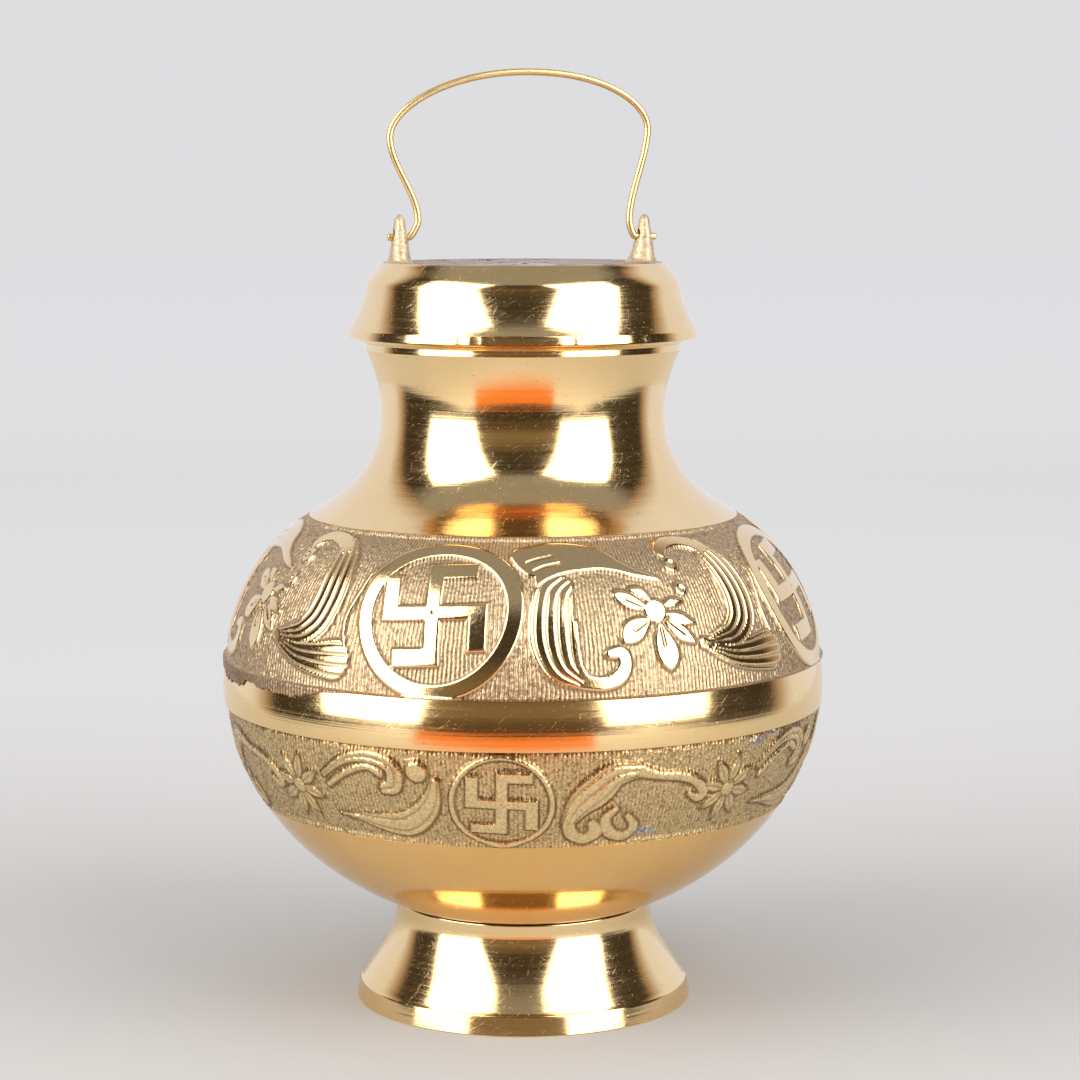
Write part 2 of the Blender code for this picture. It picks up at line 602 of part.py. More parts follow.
def lug_sections():
    """Heights and half sizes of a lug's oval sections, from the tenon's end to the tip."""
    sections = [
        (CROWN_INSIDE, TENON_RADIUS, TENON_RADIUS),
        (LUG_SEAT, TENON_RADIUS, TENON_RADIUS),
        (LUG_SEAT, LUG_BASE_LENGTH / 2, LUG_BASE_WIDTH / 2),
    ]
    for step in range(4):
        angle = math.pi / 2 * step / 3
        spread = 1 - math.sin(angle)
        length = LUG_ROOT_THICKNESS + (LUG_BASE_LENGTH - LUG_ROOT_THICKNESS) * spread
        width = LUG_ROOT_WIDTH + (LUG_BASE_WIDTH - LUG_ROOT_WIDTH) * spread
        sections.append((LUG_TAPER_START - LUG_FILLET_RISE * math.cos(angle), length / 2, width / 2))
    for step in range(4):
        angle = math.pi / 2 * step / 3
        narrow = LUG_TIP_FLAT + (1 - LUG_TIP_FLAT) * math.cos(angle)
        height = LUG_TAPER_END + LUG_TIP_ROUND * math.sin(angle)
        sections.append((height, LUG_TIP_THICKNESS * narrow / 2, LUG_TIP_WIDTH * narrow / 2))
    return sections


def make_lug(name, side, brass, lid_axis):
    """Cast ear lofted through oval sections, with a hole for the bail wire."""
    bm = bmesh.new()
    rings = []
    for height, half_length, half_width in lug_sections():
        ring = []
        for step in range(LUG_SIDES):
            angle = math.tau * step / LUG_SIDES
            ring.append(bm.verts.new((side * LUG_OFFSET + half_length * math.cos(angle),
                                      half_width * math.sin(angle), height)))
        rings.append(ring)
    for lower, upper in zip(rings, rings[1:]):
        for step in range(LUG_SIDES):
            following = (step + 1) % LUG_SIDES
            bm.faces.new((lower[step], lower[following], upper[following], upper[step]))
    bm.faces.new(reversed(rings[0]))
    bm.faces.new(rings[-1])
    lug = add_mesh(name, bm, brass, lid_axis)
    hole = Vector((side * LUG_OFFSET, 0.0, HOLE_LEVEL))
    cut_round_hole(lug, f"{name}_hole", hole, HOLE_RADIUS, 2 * LUG_ROOT_THICKNESS, math.pi / 2)
    return lug


def bail_route():
    """Centre line of the bail in its own XZ plane, from the left lug to the right lug."""
    lug_inside = LUG_OFFSET - LUG_THICKNESS / 2
    leg = lug_inside - HOOK_INSET
    elbow = leg + HOOK_ROUND
    left_elbow = point(-elbow, 0)
    left_hook = point(-leg, HOOK_RISE)
    left_shoulder = point(-BAIL_LEFT_REACH, BAIL_LEFT_SHOULDER)
    crown = point(BAIL_CROWN_OFFSET, BAIL_RISE)
    right_shoulder = point(BAIL_RIGHT_REACH, BAIL_RIGHT_SHOULDER)
    right_hook = point(leg, HOOK_RISE)
    right_elbow = point(elbow, 0)
    along = point(1, 0)
    upward = point(0, 1)
    hook_rise = upward * (HOOK_RISE / 2)
    leg_rise = upward * BAIL_LEG_HANDLE
    shoulder_rise = upward * BAIL_SHOULDER_HANDLE
    crown_run = along * BAIL_CROWN_HANDLE
    elbow_run = along * (HOOK_ROUND * 2 / 3)
    spans = [
        (left_elbow, left_elbow + elbow_run, left_hook - hook_rise, left_hook, 6),
        (left_hook, left_hook + leg_rise, left_shoulder - leg_rise, left_shoulder, 8),
        (left_shoulder, left_shoulder + shoulder_rise, crown - crown_run, crown, 12),
        (crown, crown + crown_run, right_shoulder + shoulder_rise, right_shoulder, 12),
        (right_shoulder, right_shoulder - leg_rise, right_hook + leg_rise, right_hook, 8),
        (right_hook, right_hook - hook_rise, right_elbow - elbow_run, right_elbow, 6),
    ]
    route = [left_elbow]
    for start, start_handle, end_handle, end, count in spans:
        route += interpolate_bezier(start, start_handle, end_handle, end, count)[1:]
    return route


def make_bail(brass, bail_axis):
    """Bent wire bail: its rounded ends reach out through the lugs' holes."""
    stub_end = LUG_OFFSET + LUG_THICKNESS / 2 + STUB_LENGTH
    stub = [(stub_end, WIRE_RADIUS / 2), (stub_end - STUB_ROUND, WIRE_RADIUS)]
    stations = [(point(-reach, 0), radius) for reach, radius in stub]
    stations += [(spot, WIRE_RADIUS) for spot in bail_route()]
    stations += [(point(reach, 0), radius) for reach, radius in reversed(stub)]
    curve = bpy.data.curves.new("bail", "CURVE")
    curve.dimensions = "3D"
    curve.fill_mode = "FULL"
    curve.bevel_depth = WIRE_RADIUS
    curve.bevel_resolution = WIRE_RESOLUTION
    curve.use_fill_caps = True
    spline = curve.splines.new("POLY")
    spline.points.add(len(stations) - 1)
    for knot, (spot, radius) in zip(spline.points, stations):
        knot.co = (*spot, 1.0)
        knot.radius = radius / WIRE_RADIUS
    return add_object("bail", curve, brass, bail_axis)


for leftover in list(bpy.data.objects):
    bpy.data.objects.remove(leftover, do_unlink=True)

polished_brass = principled("polished_brass", (0.78, 0.57, 0.26), 0.2, 1.0)
cast_brass = principled("cast_brass", (0.68, 0.48, 0.24), 0.45, 1.0)
wire_brass = principled("wire_brass", (0.80, 0.60, 0.28), 0.25, 1.0)
grey_solder = principled("grey_solder", (0.52, 0.50, 0.46), 0.5, 1.0)
black_rubber = principled("black_rubber", (0.03, 0.03, 0.03), 0.8, 0.0)

make_foot(polished_brass)
make_foot_solder(grey_solder)
make_lower_bowl(cast_brass)
make_belly_solder(grey_solder)
make_upper_shell(polished_brass)
make_neck_thread_ring(polished_brass)
lid_turning_axis = axis_empty("lid_axis", LID_SEAT)
make_washer(black_rubber, lid_turning_axis)
make_lid_thread_ring(polished_brass, lid_turning_axis)
make_lid_shell(polished_brass, lid_turning_axis)
make_lug("left_lug", -1, cast_brass, lid_turning_axis)
make_lug("right_lug", 1, cast_brass, lid_turning_axis)
bail_pivot = axis_empty("bail_axis", PIVOT_LEVEL, lid_turning_axis)
make_bail(wire_brass, bail_pivot)
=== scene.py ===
import math

import bpy
import numpy as np
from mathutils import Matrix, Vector
from mathutils.geometry import interpolate_bezier


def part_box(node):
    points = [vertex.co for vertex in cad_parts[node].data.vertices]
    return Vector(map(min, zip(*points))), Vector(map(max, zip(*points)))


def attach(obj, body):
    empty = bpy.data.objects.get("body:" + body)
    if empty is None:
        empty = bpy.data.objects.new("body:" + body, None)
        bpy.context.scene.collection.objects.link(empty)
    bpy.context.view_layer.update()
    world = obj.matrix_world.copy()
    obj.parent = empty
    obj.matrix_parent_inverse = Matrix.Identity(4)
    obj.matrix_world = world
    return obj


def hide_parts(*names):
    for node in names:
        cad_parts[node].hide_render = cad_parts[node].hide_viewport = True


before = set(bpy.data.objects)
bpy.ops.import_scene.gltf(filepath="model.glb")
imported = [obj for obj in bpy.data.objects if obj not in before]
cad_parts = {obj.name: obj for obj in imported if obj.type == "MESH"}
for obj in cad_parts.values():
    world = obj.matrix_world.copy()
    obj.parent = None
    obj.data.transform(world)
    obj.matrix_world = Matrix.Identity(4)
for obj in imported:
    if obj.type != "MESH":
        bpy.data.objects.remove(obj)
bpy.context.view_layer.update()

# Foot
# A flared ring of brass, turned on a lathe and polished. It stands on a narrow flat rim, has a
# low straight band at the floor, and is soldered under the bowl.
MM = 0.001
FOOT_WAIST_RADIUS = 35.5 * MM
FOOT_COLLAR_HEIGHT = 2.2 * MM
FOOT_BAND_HEIGHT = 5.2 * MM
FOOT_BAND_TAPER = 1.0 * MM
FOOT_BAND_ROUND = 0.5 * MM
FOOT_WALL = 2.4 * MM
FOOT_RIM_WIDTH = 3.6 * MM
FOOT_SEAT_SLOPE = 1.8 * MM
FLARE_POINTS = 36
EDGE_ROUND = 0.35 * MM
WELD = 0.001 * MM
LATHE_STEPS = 240
SMOOTH_ANGLE = math.radians(28)


def spot(radius, height):
    """A point of a lathe outline, in the XZ plane."""
    return Vector((radius, 0.0, height))


def rounded(before, corner, after, size=EDGE_ROUND, count=5):
    """A small round in place of a sharp corner of an outline."""
    start = corner + (before - corner).normalized() * size
    end = corner + (after - corner).normalized() * size
    return interpolate_bezier(start, corner, corner, end, count)


def inward(points, distance):
    """A rising outer outline moved towards the inside of its wall."""
    moved = []
    for index, here in enumerate(points):
        run = points[min(index + 1, len(points) - 1)] - points[max(index - 1, 0)]
        moved.append(here + Vector((-run.z, 0.0, run.x)).normalized() * distance)
    return moved


def finish_mesh(angle, weld=True):
    """Weld doubled points, turn all faces outwards and shade smooth up to an angle."""
    bpy.ops.object.mode_set(mode="EDIT")
    bpy.ops.mesh.select_all(action="SELECT")
    if weld:
        bpy.ops.mesh.remove_doubles(threshold=WELD)
    bpy.ops.mesh.normals_make_consistent(inside=False)
    bpy.ops.object.mode_set(mode="OBJECT")
    bpy.ops.object.shade_smooth_by_angle(angle=angle)


def turn_on_lathe(name, outline, steps=LATHE_STEPS):
    """Extrude a vertex along an outline and spin the line round Z into a closed piece."""
    bpy.ops.object.select_all(action="DESELECT")
    bpy.ops.mesh.primitive_plane_add(size=MM, location=(0, 0, 0))
    piece = bpy.context.object
    piece.name = name
    bpy.ops.object.mode_set(mode="EDIT")
    bpy.ops.mesh.merge(type="CENTER")
    bpy.ops.transform.translate(value=outline[0])
    for before, here in zip(outline, outline[1:]):
        bpy.ops.mesh.extrude_region_move(TRANSFORM_OT_translate={"value": here - before})
    if outline[0].x > 0:
        bpy.ops.mesh.extrude_region_move(TRANSFORM_OT_translate={"value": outline[0] - outline[-1]})
    bpy.ops.mesh.select_all(action="SELECT")
    bpy.ops.mesh.spin(steps=steps, angle=math.tau, center=(0, 0, 0), axis=(0, 0, 1))
    finish_mesh(SMOOTH_ANGLE)
    return piece


def add_node(tree, kind, **settings):
    """A shader node with its settings."""
    node = tree.nodes.new(kind)
    for key, value in settings.items():
        setattr(node, key, value)
    return node


def noise(tree, vector, scale, detail=2.0, rough=0.5):
    """A noise texture on a vector."""
    texture = add_node(tree, "ShaderNodeTexNoise")
    texture.inputs["Scale"].default_value = scale
    texture.inputs["Detail"].default_value = detail
    texture.inputs["Roughness"].default_value = rough
    tree.links.new(vector, texture.inputs["Vector"])
    return texture.outputs["Fac"]


def ramp(tree, value, stops):
    """A colour ramp through (place, colour) stops; a plain number is a grey."""
    node = add_node(tree, "ShaderNodeValToRGB")
    band = node.color_ramp
    while len(band.elements) < len(stops):
        band.elements.new(1.0)
    for element, (place, colour) in zip(band.elements, stops):
        element.position = place
        grey = (colour, colour, colour) if isinstance(colour, float) else colour
        element.color = (*grey, 1.0)
    tree.links.new(value, node.inputs["Fac"])
    return node.outputs["Color"]


def mixed(tree, share, first, second):
    """A colour between two colours; each may be a socket or a plain colour."""
    node = add_node(tree, "ShaderNodeMix", data_type="RGBA")
    sockets = [node.inputs[0], node.inputs[6], node.inputs[7]]
    for socket, value in zip(sockets, (share, first, second)):
        if isinstance(value, bpy.types.NodeSocket):
            tree.links.new(value, socket)
        elif isinstance(value, float):
            socket.default_value = value
        else:
            socket.default_value = (*value, 1.0)
    return node.outputs[2]


def stretched(tree, coordinates, scale, tilt=(0.0, 0.0, 0.0)):
    """Object coordinates stretched along the axes, after a tilt."""
    mapping = add_node(tree, "ShaderNodeMapping", vector_type="TEXTURE")
    mapping.inputs["Rotation"].default_value = tilt
    mapping.inputs["Scale"].default_value = [1 / share for share in scale]
    tree.links.new(coordinates, mapping.inputs["Vector"])
    return mapping.outputs["Vector"]


def bumped(tree, height, strength, depth, below=None):
    """A bump node, stacked on the one below."""
    bump = add_node(tree, "ShaderNodeBump")
    bump.inputs["Strength"].default_value = strength
    bump.inputs["Distance"].default_value = depth
    tree.links.new(height, bump.inputs["Height"])
    if below is not None:
        tree.links.new(below, bump.inputs["Normal"])
    return bump.outputs["Normal"]


def new_finish(name, metallic=1.0):
    """An empty material, with its tree, its shader and the Object coordinates."""
    material = bpy.data.materials.new(name)
    material.use_nodes = True
    tree = material.node_tree
    shader = tree.nodes["Principled BSDF"]
    shader.inputs["Metallic"].default_value = metallic
    place = add_node(tree, "ShaderNodeTexCoord").outputs["Object"]
    return material, tree, shader, place


def dress(tree, shader, colour, rough=None, normal=None):
    """Link a finish's colour, roughness and bump to its shader."""
    for socket_name, look in (("Base Color", colour), ("Roughness", rough), ("Normal", normal)):
        if look is not None:
            tree.links.new(look, shader.inputs[socket_name])


def lighter(tree, first, second):
    """The lighter of two tones at each place."""
    node = add_node(tree, "ShaderNodeMix", data_type="RGBA", blend_type="LIGHTEN")
    node.inputs[0].default_value = 1.0
    tree.links.new(first, node.inputs[6])
    tree.links.new(second, node.inputs[7])
    return node.outputs[2]


# How often lathe lines, turning bands, scratches, stains, pits and specks come, to the metre along
# each axis, and where each noise is cut off.
LATHE_LINES = (6, 6, 2600)
LATHE_BANDS = (4, 4, 520)
SCRATCHES = (4200, 210, 210)
SCRATCH_TILTS = ((0.6, 0.5, 0.9), (-0.4, 0.9, 0.3), (1.1, -0.5, 1.7), (0.2, -1.1, 2.6))
SCRATCH_CUT = [(0.0, 0.0), (0.67, 0.0), (0.80, 0.6)]
STAINS = 34.0
PITS = 950.0
PIT_CUT = [(0.0, 0.0), (0.735, 0.0), (0.77, 1.0)]
PIT_TONE = (0.42, 0.29, 0.14)
SPECKS = 1500.0
SPECK_CUT = [(0.0, 0.0), (0.68, 0.0), (0.73, 1.0)]
LINE_DEPTH = 0.02 * MM
BAND_DEPTH = 0.08 * MM
MARK_DEPTH = 0.016 * MM
PIT_DEPTH = 0.04 * MM


def lathe_polished(name, bright, deep, smooth, worn):
    """Polished brass with lathe lines, faint stains, small pits, specks and fine scratches."""
    material, tree, shader, place = new_finish(name)
    lines = noise(tree, stretched(tree, place, LATHE_LINES), 1.0, detail=3.0, rough=0.65)
    bands = noise(tree, stretched(tree, place, LATHE_BANDS), 1.0, detail=2.0, rough=0.6)
    stain = noise(tree, place, STAINS, detail=4.0, rough=0.6)
    pits = ramp(tree, noise(tree, place, PITS), PIT_CUT)
    marks = ramp(tree, noise(tree, place, SPECKS), SPECK_CUT)
    for tilt in SCRATCH_TILTS:
        hair = noise(tree, stretched(tree, place, SCRATCHES, tilt), 1.0, detail=1.0, rough=0.4)
        marks = lighter(tree, marks, ramp(tree, hair, SCRATCH_CUT))
    tone = ramp(tree, stain, [(0.30, deep), (0.62, bright)])
    gloss = ramp(tree, lines, [(0.25, smooth), (0.75, worn)])
    turned = bumped(tree, lines, 0.5, LINE_DEPTH)
    turned = bumped(tree, bands, 0.45, BAND_DEPTH, turned)
    turned = bumped(tree, marks, -0.2, MARK_DEPTH, turned)
    turned = bumped(tree, pits, -0.25, PIT_DEPTH, turned)
    scratched = mixed(tree, marks, gloss, (worn * 2.0,) * 3)
    dress(tree, shader, mixed(tree, pits, tone, PIT_TONE), scratched, turned)
    return material


BRASS_BRIGHT = (0.95, 0.70, 0.37)
BRASS_DEEP = (0.92, 0.65, 0.31)
polished_brass = lathe_polished("polished_brass", BRASS_BRIGHT, BRASS_DEEP, smooth=0.07, worn=0.19)

foot_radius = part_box("foot")[1].x
foot_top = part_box("foot")[1].z
band_top = spot(foot_radius - FOOT_BAND_TAPER, FOOT_BAND_HEIGHT)
collar_low = foot_top - FOOT_COLLAR_HEIGHT
foot_waist = spot(FOOT_WAIST_RADIUS, collar_low)
flare_rise = collar_low - FOOT_BAND_HEIGHT
flare_reach = band_top.x - FOOT_WAIST_RADIUS
flare = interpolate_bezier(
    band_top + spot(-FOOT_BAND_ROUND, FOOT_BAND_ROUND),
    band_top + spot(-flare_reach / 2, flare_rise / 3),
    foot_waist - spot(0, flare_rise / 3),
    foot_waist, FLARE_POINTS)
foot_inside = inward(flare, FOOT_WALL)
inner_waist = FOOT_WAIST_RADIUS - FOOT_WALL
foot_outline = [
    spot(foot_radius - FOOT_RIM_WIDTH, 0),
    *rounded(spot(foot_radius - FOOT_RIM_WIDTH, 0), spot(foot_radius, 0), band_top),
    *rounded(spot(foot_radius, 0), band_top, flare[0]),
    *flare,
    *rounded(foot_waist, spot(FOOT_WAIST_RADIUS, foot_top), spot(inner_waist, foot_top)),
    spot(inner_waist, foot_top - FOOT_SEAT_SLOPE),
    spot(inner_waist, collar_low),
    *foot_inside[-2:0:-1],
]
foot = turn_on_lathe("turned_foot", foot_outline)
foot.data.materials.append(polished_brass)
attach(foot, "pot")
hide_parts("foot")

# Foot and belly solder
# Soft solder: a fillet run round the inside of the foot, where it meets the bowl's underside, and a
# ring that fills the groove behind the belt. It cools dull grey with a wrinkled skin.
SOLDER_DARK = (0.36, 0.35, 0.34)
SOLDER_LIGHT = (0.62, 0.61, 0.60)
SOLDER_WRINKLES = 420.0
WRINKLE_DEPTH = 0.2 * MM


def coat_node(node_name, material):
    """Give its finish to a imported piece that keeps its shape."""
    node_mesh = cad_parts[node_name].data
    node_mesh.materials.clear()
    node_mesh.materials.append(material)


dull_solder, tree, shader, place = new_finish("dull_solder")
wrinkle = noise(tree, place, SOLDER_WRINKLES, detail=5.0, rough=0.6)
dress(tree, shader,
      ramp(tree, wrinkle, [(0.3, SOLDER_DARK), (0.7, SOLDER_LIGHT)]),
      ramp(tree, wrinkle, [(0.2, 0.35), (0.8, 0.65)]),
      bumped(tree, wrinkle, 0.6, WRINKLE_DEPTH))
coat_node("foot_solder_ring", dull_solder)
coat_node("belly_solder_ring", dull_solder)

# Lower bowl
# The lower half of the belly, sand cast in brass. Its underside is turned and polished, and its
# upper edge has a tongue that slips inside the belt and is soldered there.
BELLY_RADIUS = 82.5 * MM
BOWL_WALL = 3.0 * MM
BELT_HEIGHT = 13.1 * MM
SEAM = 0.3 * MM
LOWER_BAND_DROP = 26.3 * MM
BAND_POCKET = 1.6 * MM
TONGUE_THICKNESS = 1.1 * MM
TONGUE_HEIGHT = 6.0 * MM
UNDERSIDE_POINTS = 72
LOWER_POCKET_POINTS = 12
BOWL_INSIDE_POINTS = 40
BOWL_BRIGHT = (0.95, 0.61, 0.24)
BOWL_DEEP = (0.91, 0.55, 0.19)

bowl_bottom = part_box("lower_bowl")[0].z
belt_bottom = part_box("upper_shell")[0].z
belly_level = belt_bottom + BELT_HEIGHT / 2
bowl_depth = belly_level - bowl_bottom


def ellipse_walk(middle, across, up, start, stop, count, inset=0.0):
    """Points along an elliptical wall, moved inwards along its normal by inset."""
    angles = np.linspace(start, stop, count)
    walk = []
    for angle in angles:
        outward = Vector((math.cos(angle) / across, 0.0, math.sin(angle) / up)).normalized()
        walk.append(middle + spot(across * math.cos(angle), up * math.sin(angle)) - outward * inset)
    return walk


bowl_middle = spot(0, belly_level)
pole = -math.pi / 2
band_low_angle = -math.asin((BELT_HEIGHT / 2 + LOWER_BAND_DROP) / bowl_depth)
rim_angle = -math.asin((BELT_HEIGHT / 2 + SEAM) / bowl_depth)
underside = ellipse_walk(bowl_middle, BELLY_RADIUS, bowl_depth, pole, band_low_angle, UNDERSIDE_POINTS)
lower_pocket = ellipse_walk(bowl_middle, BELLY_RADIUS, bowl_depth, band_low_angle, rim_angle,
                            LOWER_POCKET_POINTS, BAND_POCKET)
inner_belly = BELLY_RADIUS - BOWL_WALL
bowl_inside = ellipse_walk(bowl_middle, inner_belly, bowl_depth - BOWL_WALL, rim_angle, pole,
                           BOWL_INSIDE_POINTS)
tongue = inner_belly + TONGUE_THICKNESS
bowl_outline = [
    *underside,
    *lower_pocket,
    spot(tongue, belt_bottom - SEAM),
    spot(tongue, belt_bottom + TONGUE_HEIGHT),
    spot(inner_belly, belt_bottom + TONGUE_HEIGHT),
    *bowl_inside,
]
bowl_outline[0].x = 0.0
bowl_outline[-1].x = 0.0
bowl = turn_on_lathe("lower_bowl_shell", bowl_outline)
bowl_brass = lathe_polished("bowl_brass", BOWL_BRIGHT, BOWL_DEEP, smooth=0.08, worn=0.15)
bowl.data.materials.append(bowl_brass)
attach(bowl, "pot")
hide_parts("lower_bowl")

# Lower relief band
# Cast in one with the bowl: a ring with the auspicious sign, a plume, a flower and a scrolled leaf,
# four times round. The ground is chased with upright strokes, and only the high parts are brushed.
QUARTER = 90.0
VIEW_TURN = -11.0
LOWER_RING_TURN = VIEW_TURN - 3.7
# On a band, lengths are in mm and turns in degrees.
LOWER_RING_RISE = 14.3
LOWER_RING_RADIUS = 12.9
LOWER_RING_WIDTH = 1.5
LOWER_RING_SLOPE = 0.8
LOWER_FORM_SLOPE = 1.1
LOWER_SIGN = {"arm": 9.4, "hook": 7.9, "bar": 3.1, "hook_bar": 3.4, "lean": math.radians(-2)}
LOWER_RELIEF = 0.86
LOWER_GRAIN = 0.05
BAND_START = 0.3
BAND_BACK = 1.5 * MM
BACK_ROWS = 10
COLUMN = 0.25
ROW = 0.32
STROKE_PITCH = 0.8
STROKE_SWAY = 1.6
STROKE_BREAKS = 5.6
STROKE_BODY = 0.6
VEIN_DEPTH = 0.30
VEIN_SHARPNESS = 4
FAR_OFF = 99.0
FORM_MARGIN = 8.0
RELIEF_LAYERS = ("bright", "dark", "solder")
RELIEF_SMOOTH = math.radians(60)
rng = np.random.default_rng(11)

# A form is a number of veins cut along it, then its stations from the ring's middle: turn in
# degrees, distance from the belt in mm and half width in mm.
LOWER_FORMS = [
    (3, [(25.1, 5.9, 2.0), (20.8, 6.9, 3.4), (17.5, 10.9, 4.6), (14.5, 15.0, 3.5), (12.6, 20.1, 1.8)]),
    (0, [(25.1, 5.9, 1.9), (29.6, 7.8, 1.2), (34.8, 8.9, 1.4), (38.0, 10.9, 1.4), (40.1, 14.2, 1.7),
         (39.0, 15.8, 1.3), (36.8, 14.2, 0.8)]),
    (0, [(13.2, 16.5, 1.7), (12.6, 20.1, 1.7), (13.6, 24.2, 1.8), (16.1, 25.7, 1.7), (18.1, 23.6, 2.1),
         (17.3, 20.9, 1.3)]),
    (0, [(21.5, 16.8, 1.1), (19.8, 19.7, 1.5), (21.2, 24.2, 1.7), (24.4, 25.5, 1.5), (25.9, 22.4, 1.4),
         (24.2, 19.0, 0.9)]),
    (1, [(54.0, 9.6, 0.9), (59.1, 4.8, 1.3), (63.7, 3.1, 1.7), (67.8, 3.9, 1.9), (70.0, 6.5, 2.3),
         (69.6, 10.5, 2.3), (67.7, 11.5, 1.7)]),
    (0, [(55.0, 12.3, 0.9), (59.6, 8.0, 1.1), (64.3, 5.8, 1.0), (67.1, 7.4, 1.2)]),
    (0, [(74.4, 6.0, 2.9), (74.5, 6.1, 2.9)]),
    (2, [(77.8, 8.7, 1.2), (76.9, 13.7, 2.5), (74.8, 18.2, 3.4), (70.9, 22.0, 3.8), (66.1, 22.2, 2.9),
         (61.2, 21.3, 1.6), (55.8, 20.9, 0.5)]),
]
LOWER_FLOWER = (46.2, 14.4)
LOWER_HEART = 2.3
LOWER_PETALS = 8
PETAL_OFFSET = 0.3
LOWER_PETAL = ((2.0, 0.5), (5.4, 1.7), (9.6, 0.3))

# Grey solder was smeared on the front of the band: turn, distance from the belt, reach each way.
SOLDER_SMEARS = [(52.7, 2.2, 5.0, 1.3), (57.5, 1.2, 3.4, 0.9), (28.4, 24.6, 5.2, 2.0)]
SMEAR_GAIN = 2.2
SMEAR_EDGE = 0.9
SMEAR_HEIGHT = 0.25
# A ragged seam is sunk along the belt's lower edge and painted dark: painted shade under the belt, with
# dirt.
SEAM_WIDTH = 0.9
SEAM_DEPTH = 0.25
# How dark each kind of place is painted: dirt in the grain; dirt and painted shade in the troughs of the
# ground strokes; painted shade on the slopes of the forms, in the cut veins and, with dirt, along the seam
# under the belt.
LOWER_DIRT_AND_SHADE = {"ground": 0.5, "grain": 0.4, "edge": 0.8, "seam": 0.9, "vein": 0.6}


def smooth_route(route, per_span=6):
    """A Catmull-Rom line through a route's points."""
    knots = np.array([route[0], *route, route[-1]], float)
    line = []
    for a, b, c, d in zip(knots, knots[1:], knots[2:], knots[3:]):
        for step in range(per_span):
            t = step / per_span
            line.append(0.5 * (2 * b + (c - a) * t + (2 * a - 5 * b + 4 * c - d) * t ** 2
                               + (3 * b - a - 3 * c + d) * t ** 3))
    line.append(knots[-1])
    return np.array(line)


def stroke_gap(turn, rise, radius, route):
    """Distance in mm from each point of a band to a stroke's edge, below zero inside it, and the
    place across the stroke, from -1 at one edge to 1 at the other."""
    line = smooth_route(route)
    middle = line[:, 0].mean()
    near = middle + (turn - middle + QUARTER / 2) % QUARTER - QUARTER / 2
    gap = np.full(turn.shape, FAR_OFF)
    side = np.zeros(turn.shape)
    reach = np.abs(near - middle) < np.ptp(line[:, 0]) / 2 + FORM_MARGIN
    across = near[reach]
    height = rise[reach]
    scale = math.radians(1) * radius[reach]
    best = gap[reach]
    best_side = side[reach]
    for start, end in zip(line, line[1:]):
        run_x = (end[0] - start[0]) * scale
        run_y = end[1] - start[1]
        off_x = (across - start[0]) * scale
        off_y = height - start[1]
        length = np.hypot(run_x, run_y) + 1e-9
        share = np.clip((off_x * run_x + off_y * run_y) / length ** 2, 0, 1)
        width = np.maximum(start[2] + (end[2] - start[2]) * share, 0.1)
        here = np.hypot(off_x - share * run_x, off_y - share * run_y) - width
        lateral = np.clip((run_x * off_y - run_y * off_x) / length / width, -1, 1)
        best_side = np.where(here < best, lateral, best_side)
        best = np.minimum(best, here)
    gap[reach] = best
    side[reach] = best_side
    return gap, side


def ring_offsets(turn, rise, radius, ring_rise):
    """Places in mm across and up from the nearest ring's middle."""
    near = (turn + QUARTER / 2) % QUARTER - QUARTER / 2
    return near * math.radians(1) * radius, rise - ring_rise


def sign_gap(across, up, arm, hook, bar, hook_bar, lean):
    """Distance to the auspicious sign: two crossed bars whose ends turn clockwise."""
    x = across * math.cos(lean) + up * math.sin(lean)
    y = up * math.cos(lean) - across * math.sin(lean)
    gap = np.full(x.shape, FAR_OFF)
    for quarter_turn in range(4):
        x, y = y, -x
        arm_gap = np.maximum(np.abs(x) - bar / 2, np.maximum(-y, y - arm))
        hook_side = np.abs(y - arm + hook_bar / 2) - hook_bar / 2
        hook_gap = np.maximum(hook_side, np.maximum(-x - bar / 2, x - hook))
        gap = np.minimum(gap, np.minimum(arm_gap, hook_gap))
    return gap


def raised_share(gap, slope):
    """One inside a shape, nought outside, with a rounded slope between."""
    t = np.clip(0.5 - gap / (2 * slope), 0, 1)
    return t * t * (3 - 2 * t)


def ripple(turn, rise, seed, waves=5):
    """A slow, smooth wander between -1 and 1 over a band."""
    phases = np.random.default_rng(seed).uniform(0, math.tau, waves)
    wander = np.zeros(turn.shape)
    for index, phase in enumerate(phases):
        wander += np.sin(math.radians(1) * turn * (4 * index + 4) + rise * (0.21 * index + 0.17) + phase)
    return wander / waves


def raised_forms(turn, rise, radius, forms, slope):
    """How far a band's forms stand up, and how deep the veins are cut along the veined ones."""
    body = np.zeros(turn.shape)
    cuts = np.zeros(turn.shape)
    for veins, route in forms:
        gap, side = stroke_gap(turn, rise, radius, route)
        share = raised_share(gap, slope)
        vein = (0.5 - 0.5 * np.cos(math.pi * veins * (side + 1))) ** VEIN_SHARPNESS
        cuts = np.where(share > body, share * vein, cuts)
        body = np.maximum(body, share)
    return body, cuts


def petal_forms(heart, radius, petals, offset, stations):
    """Petals round a flower's heart, each with one vein along it."""
    forms = []
    for petal in range(petals):
        angle = math.tau * (petal + offset) / petals
        step_turn = math.degrees(math.cos(angle) / radius)
        step_rise = math.sin(angle)
        forms.append((1, [(heart[0] + step_turn * out, heart[1] + step_rise * out, half)
                          for out, half in stations]))
    return forms


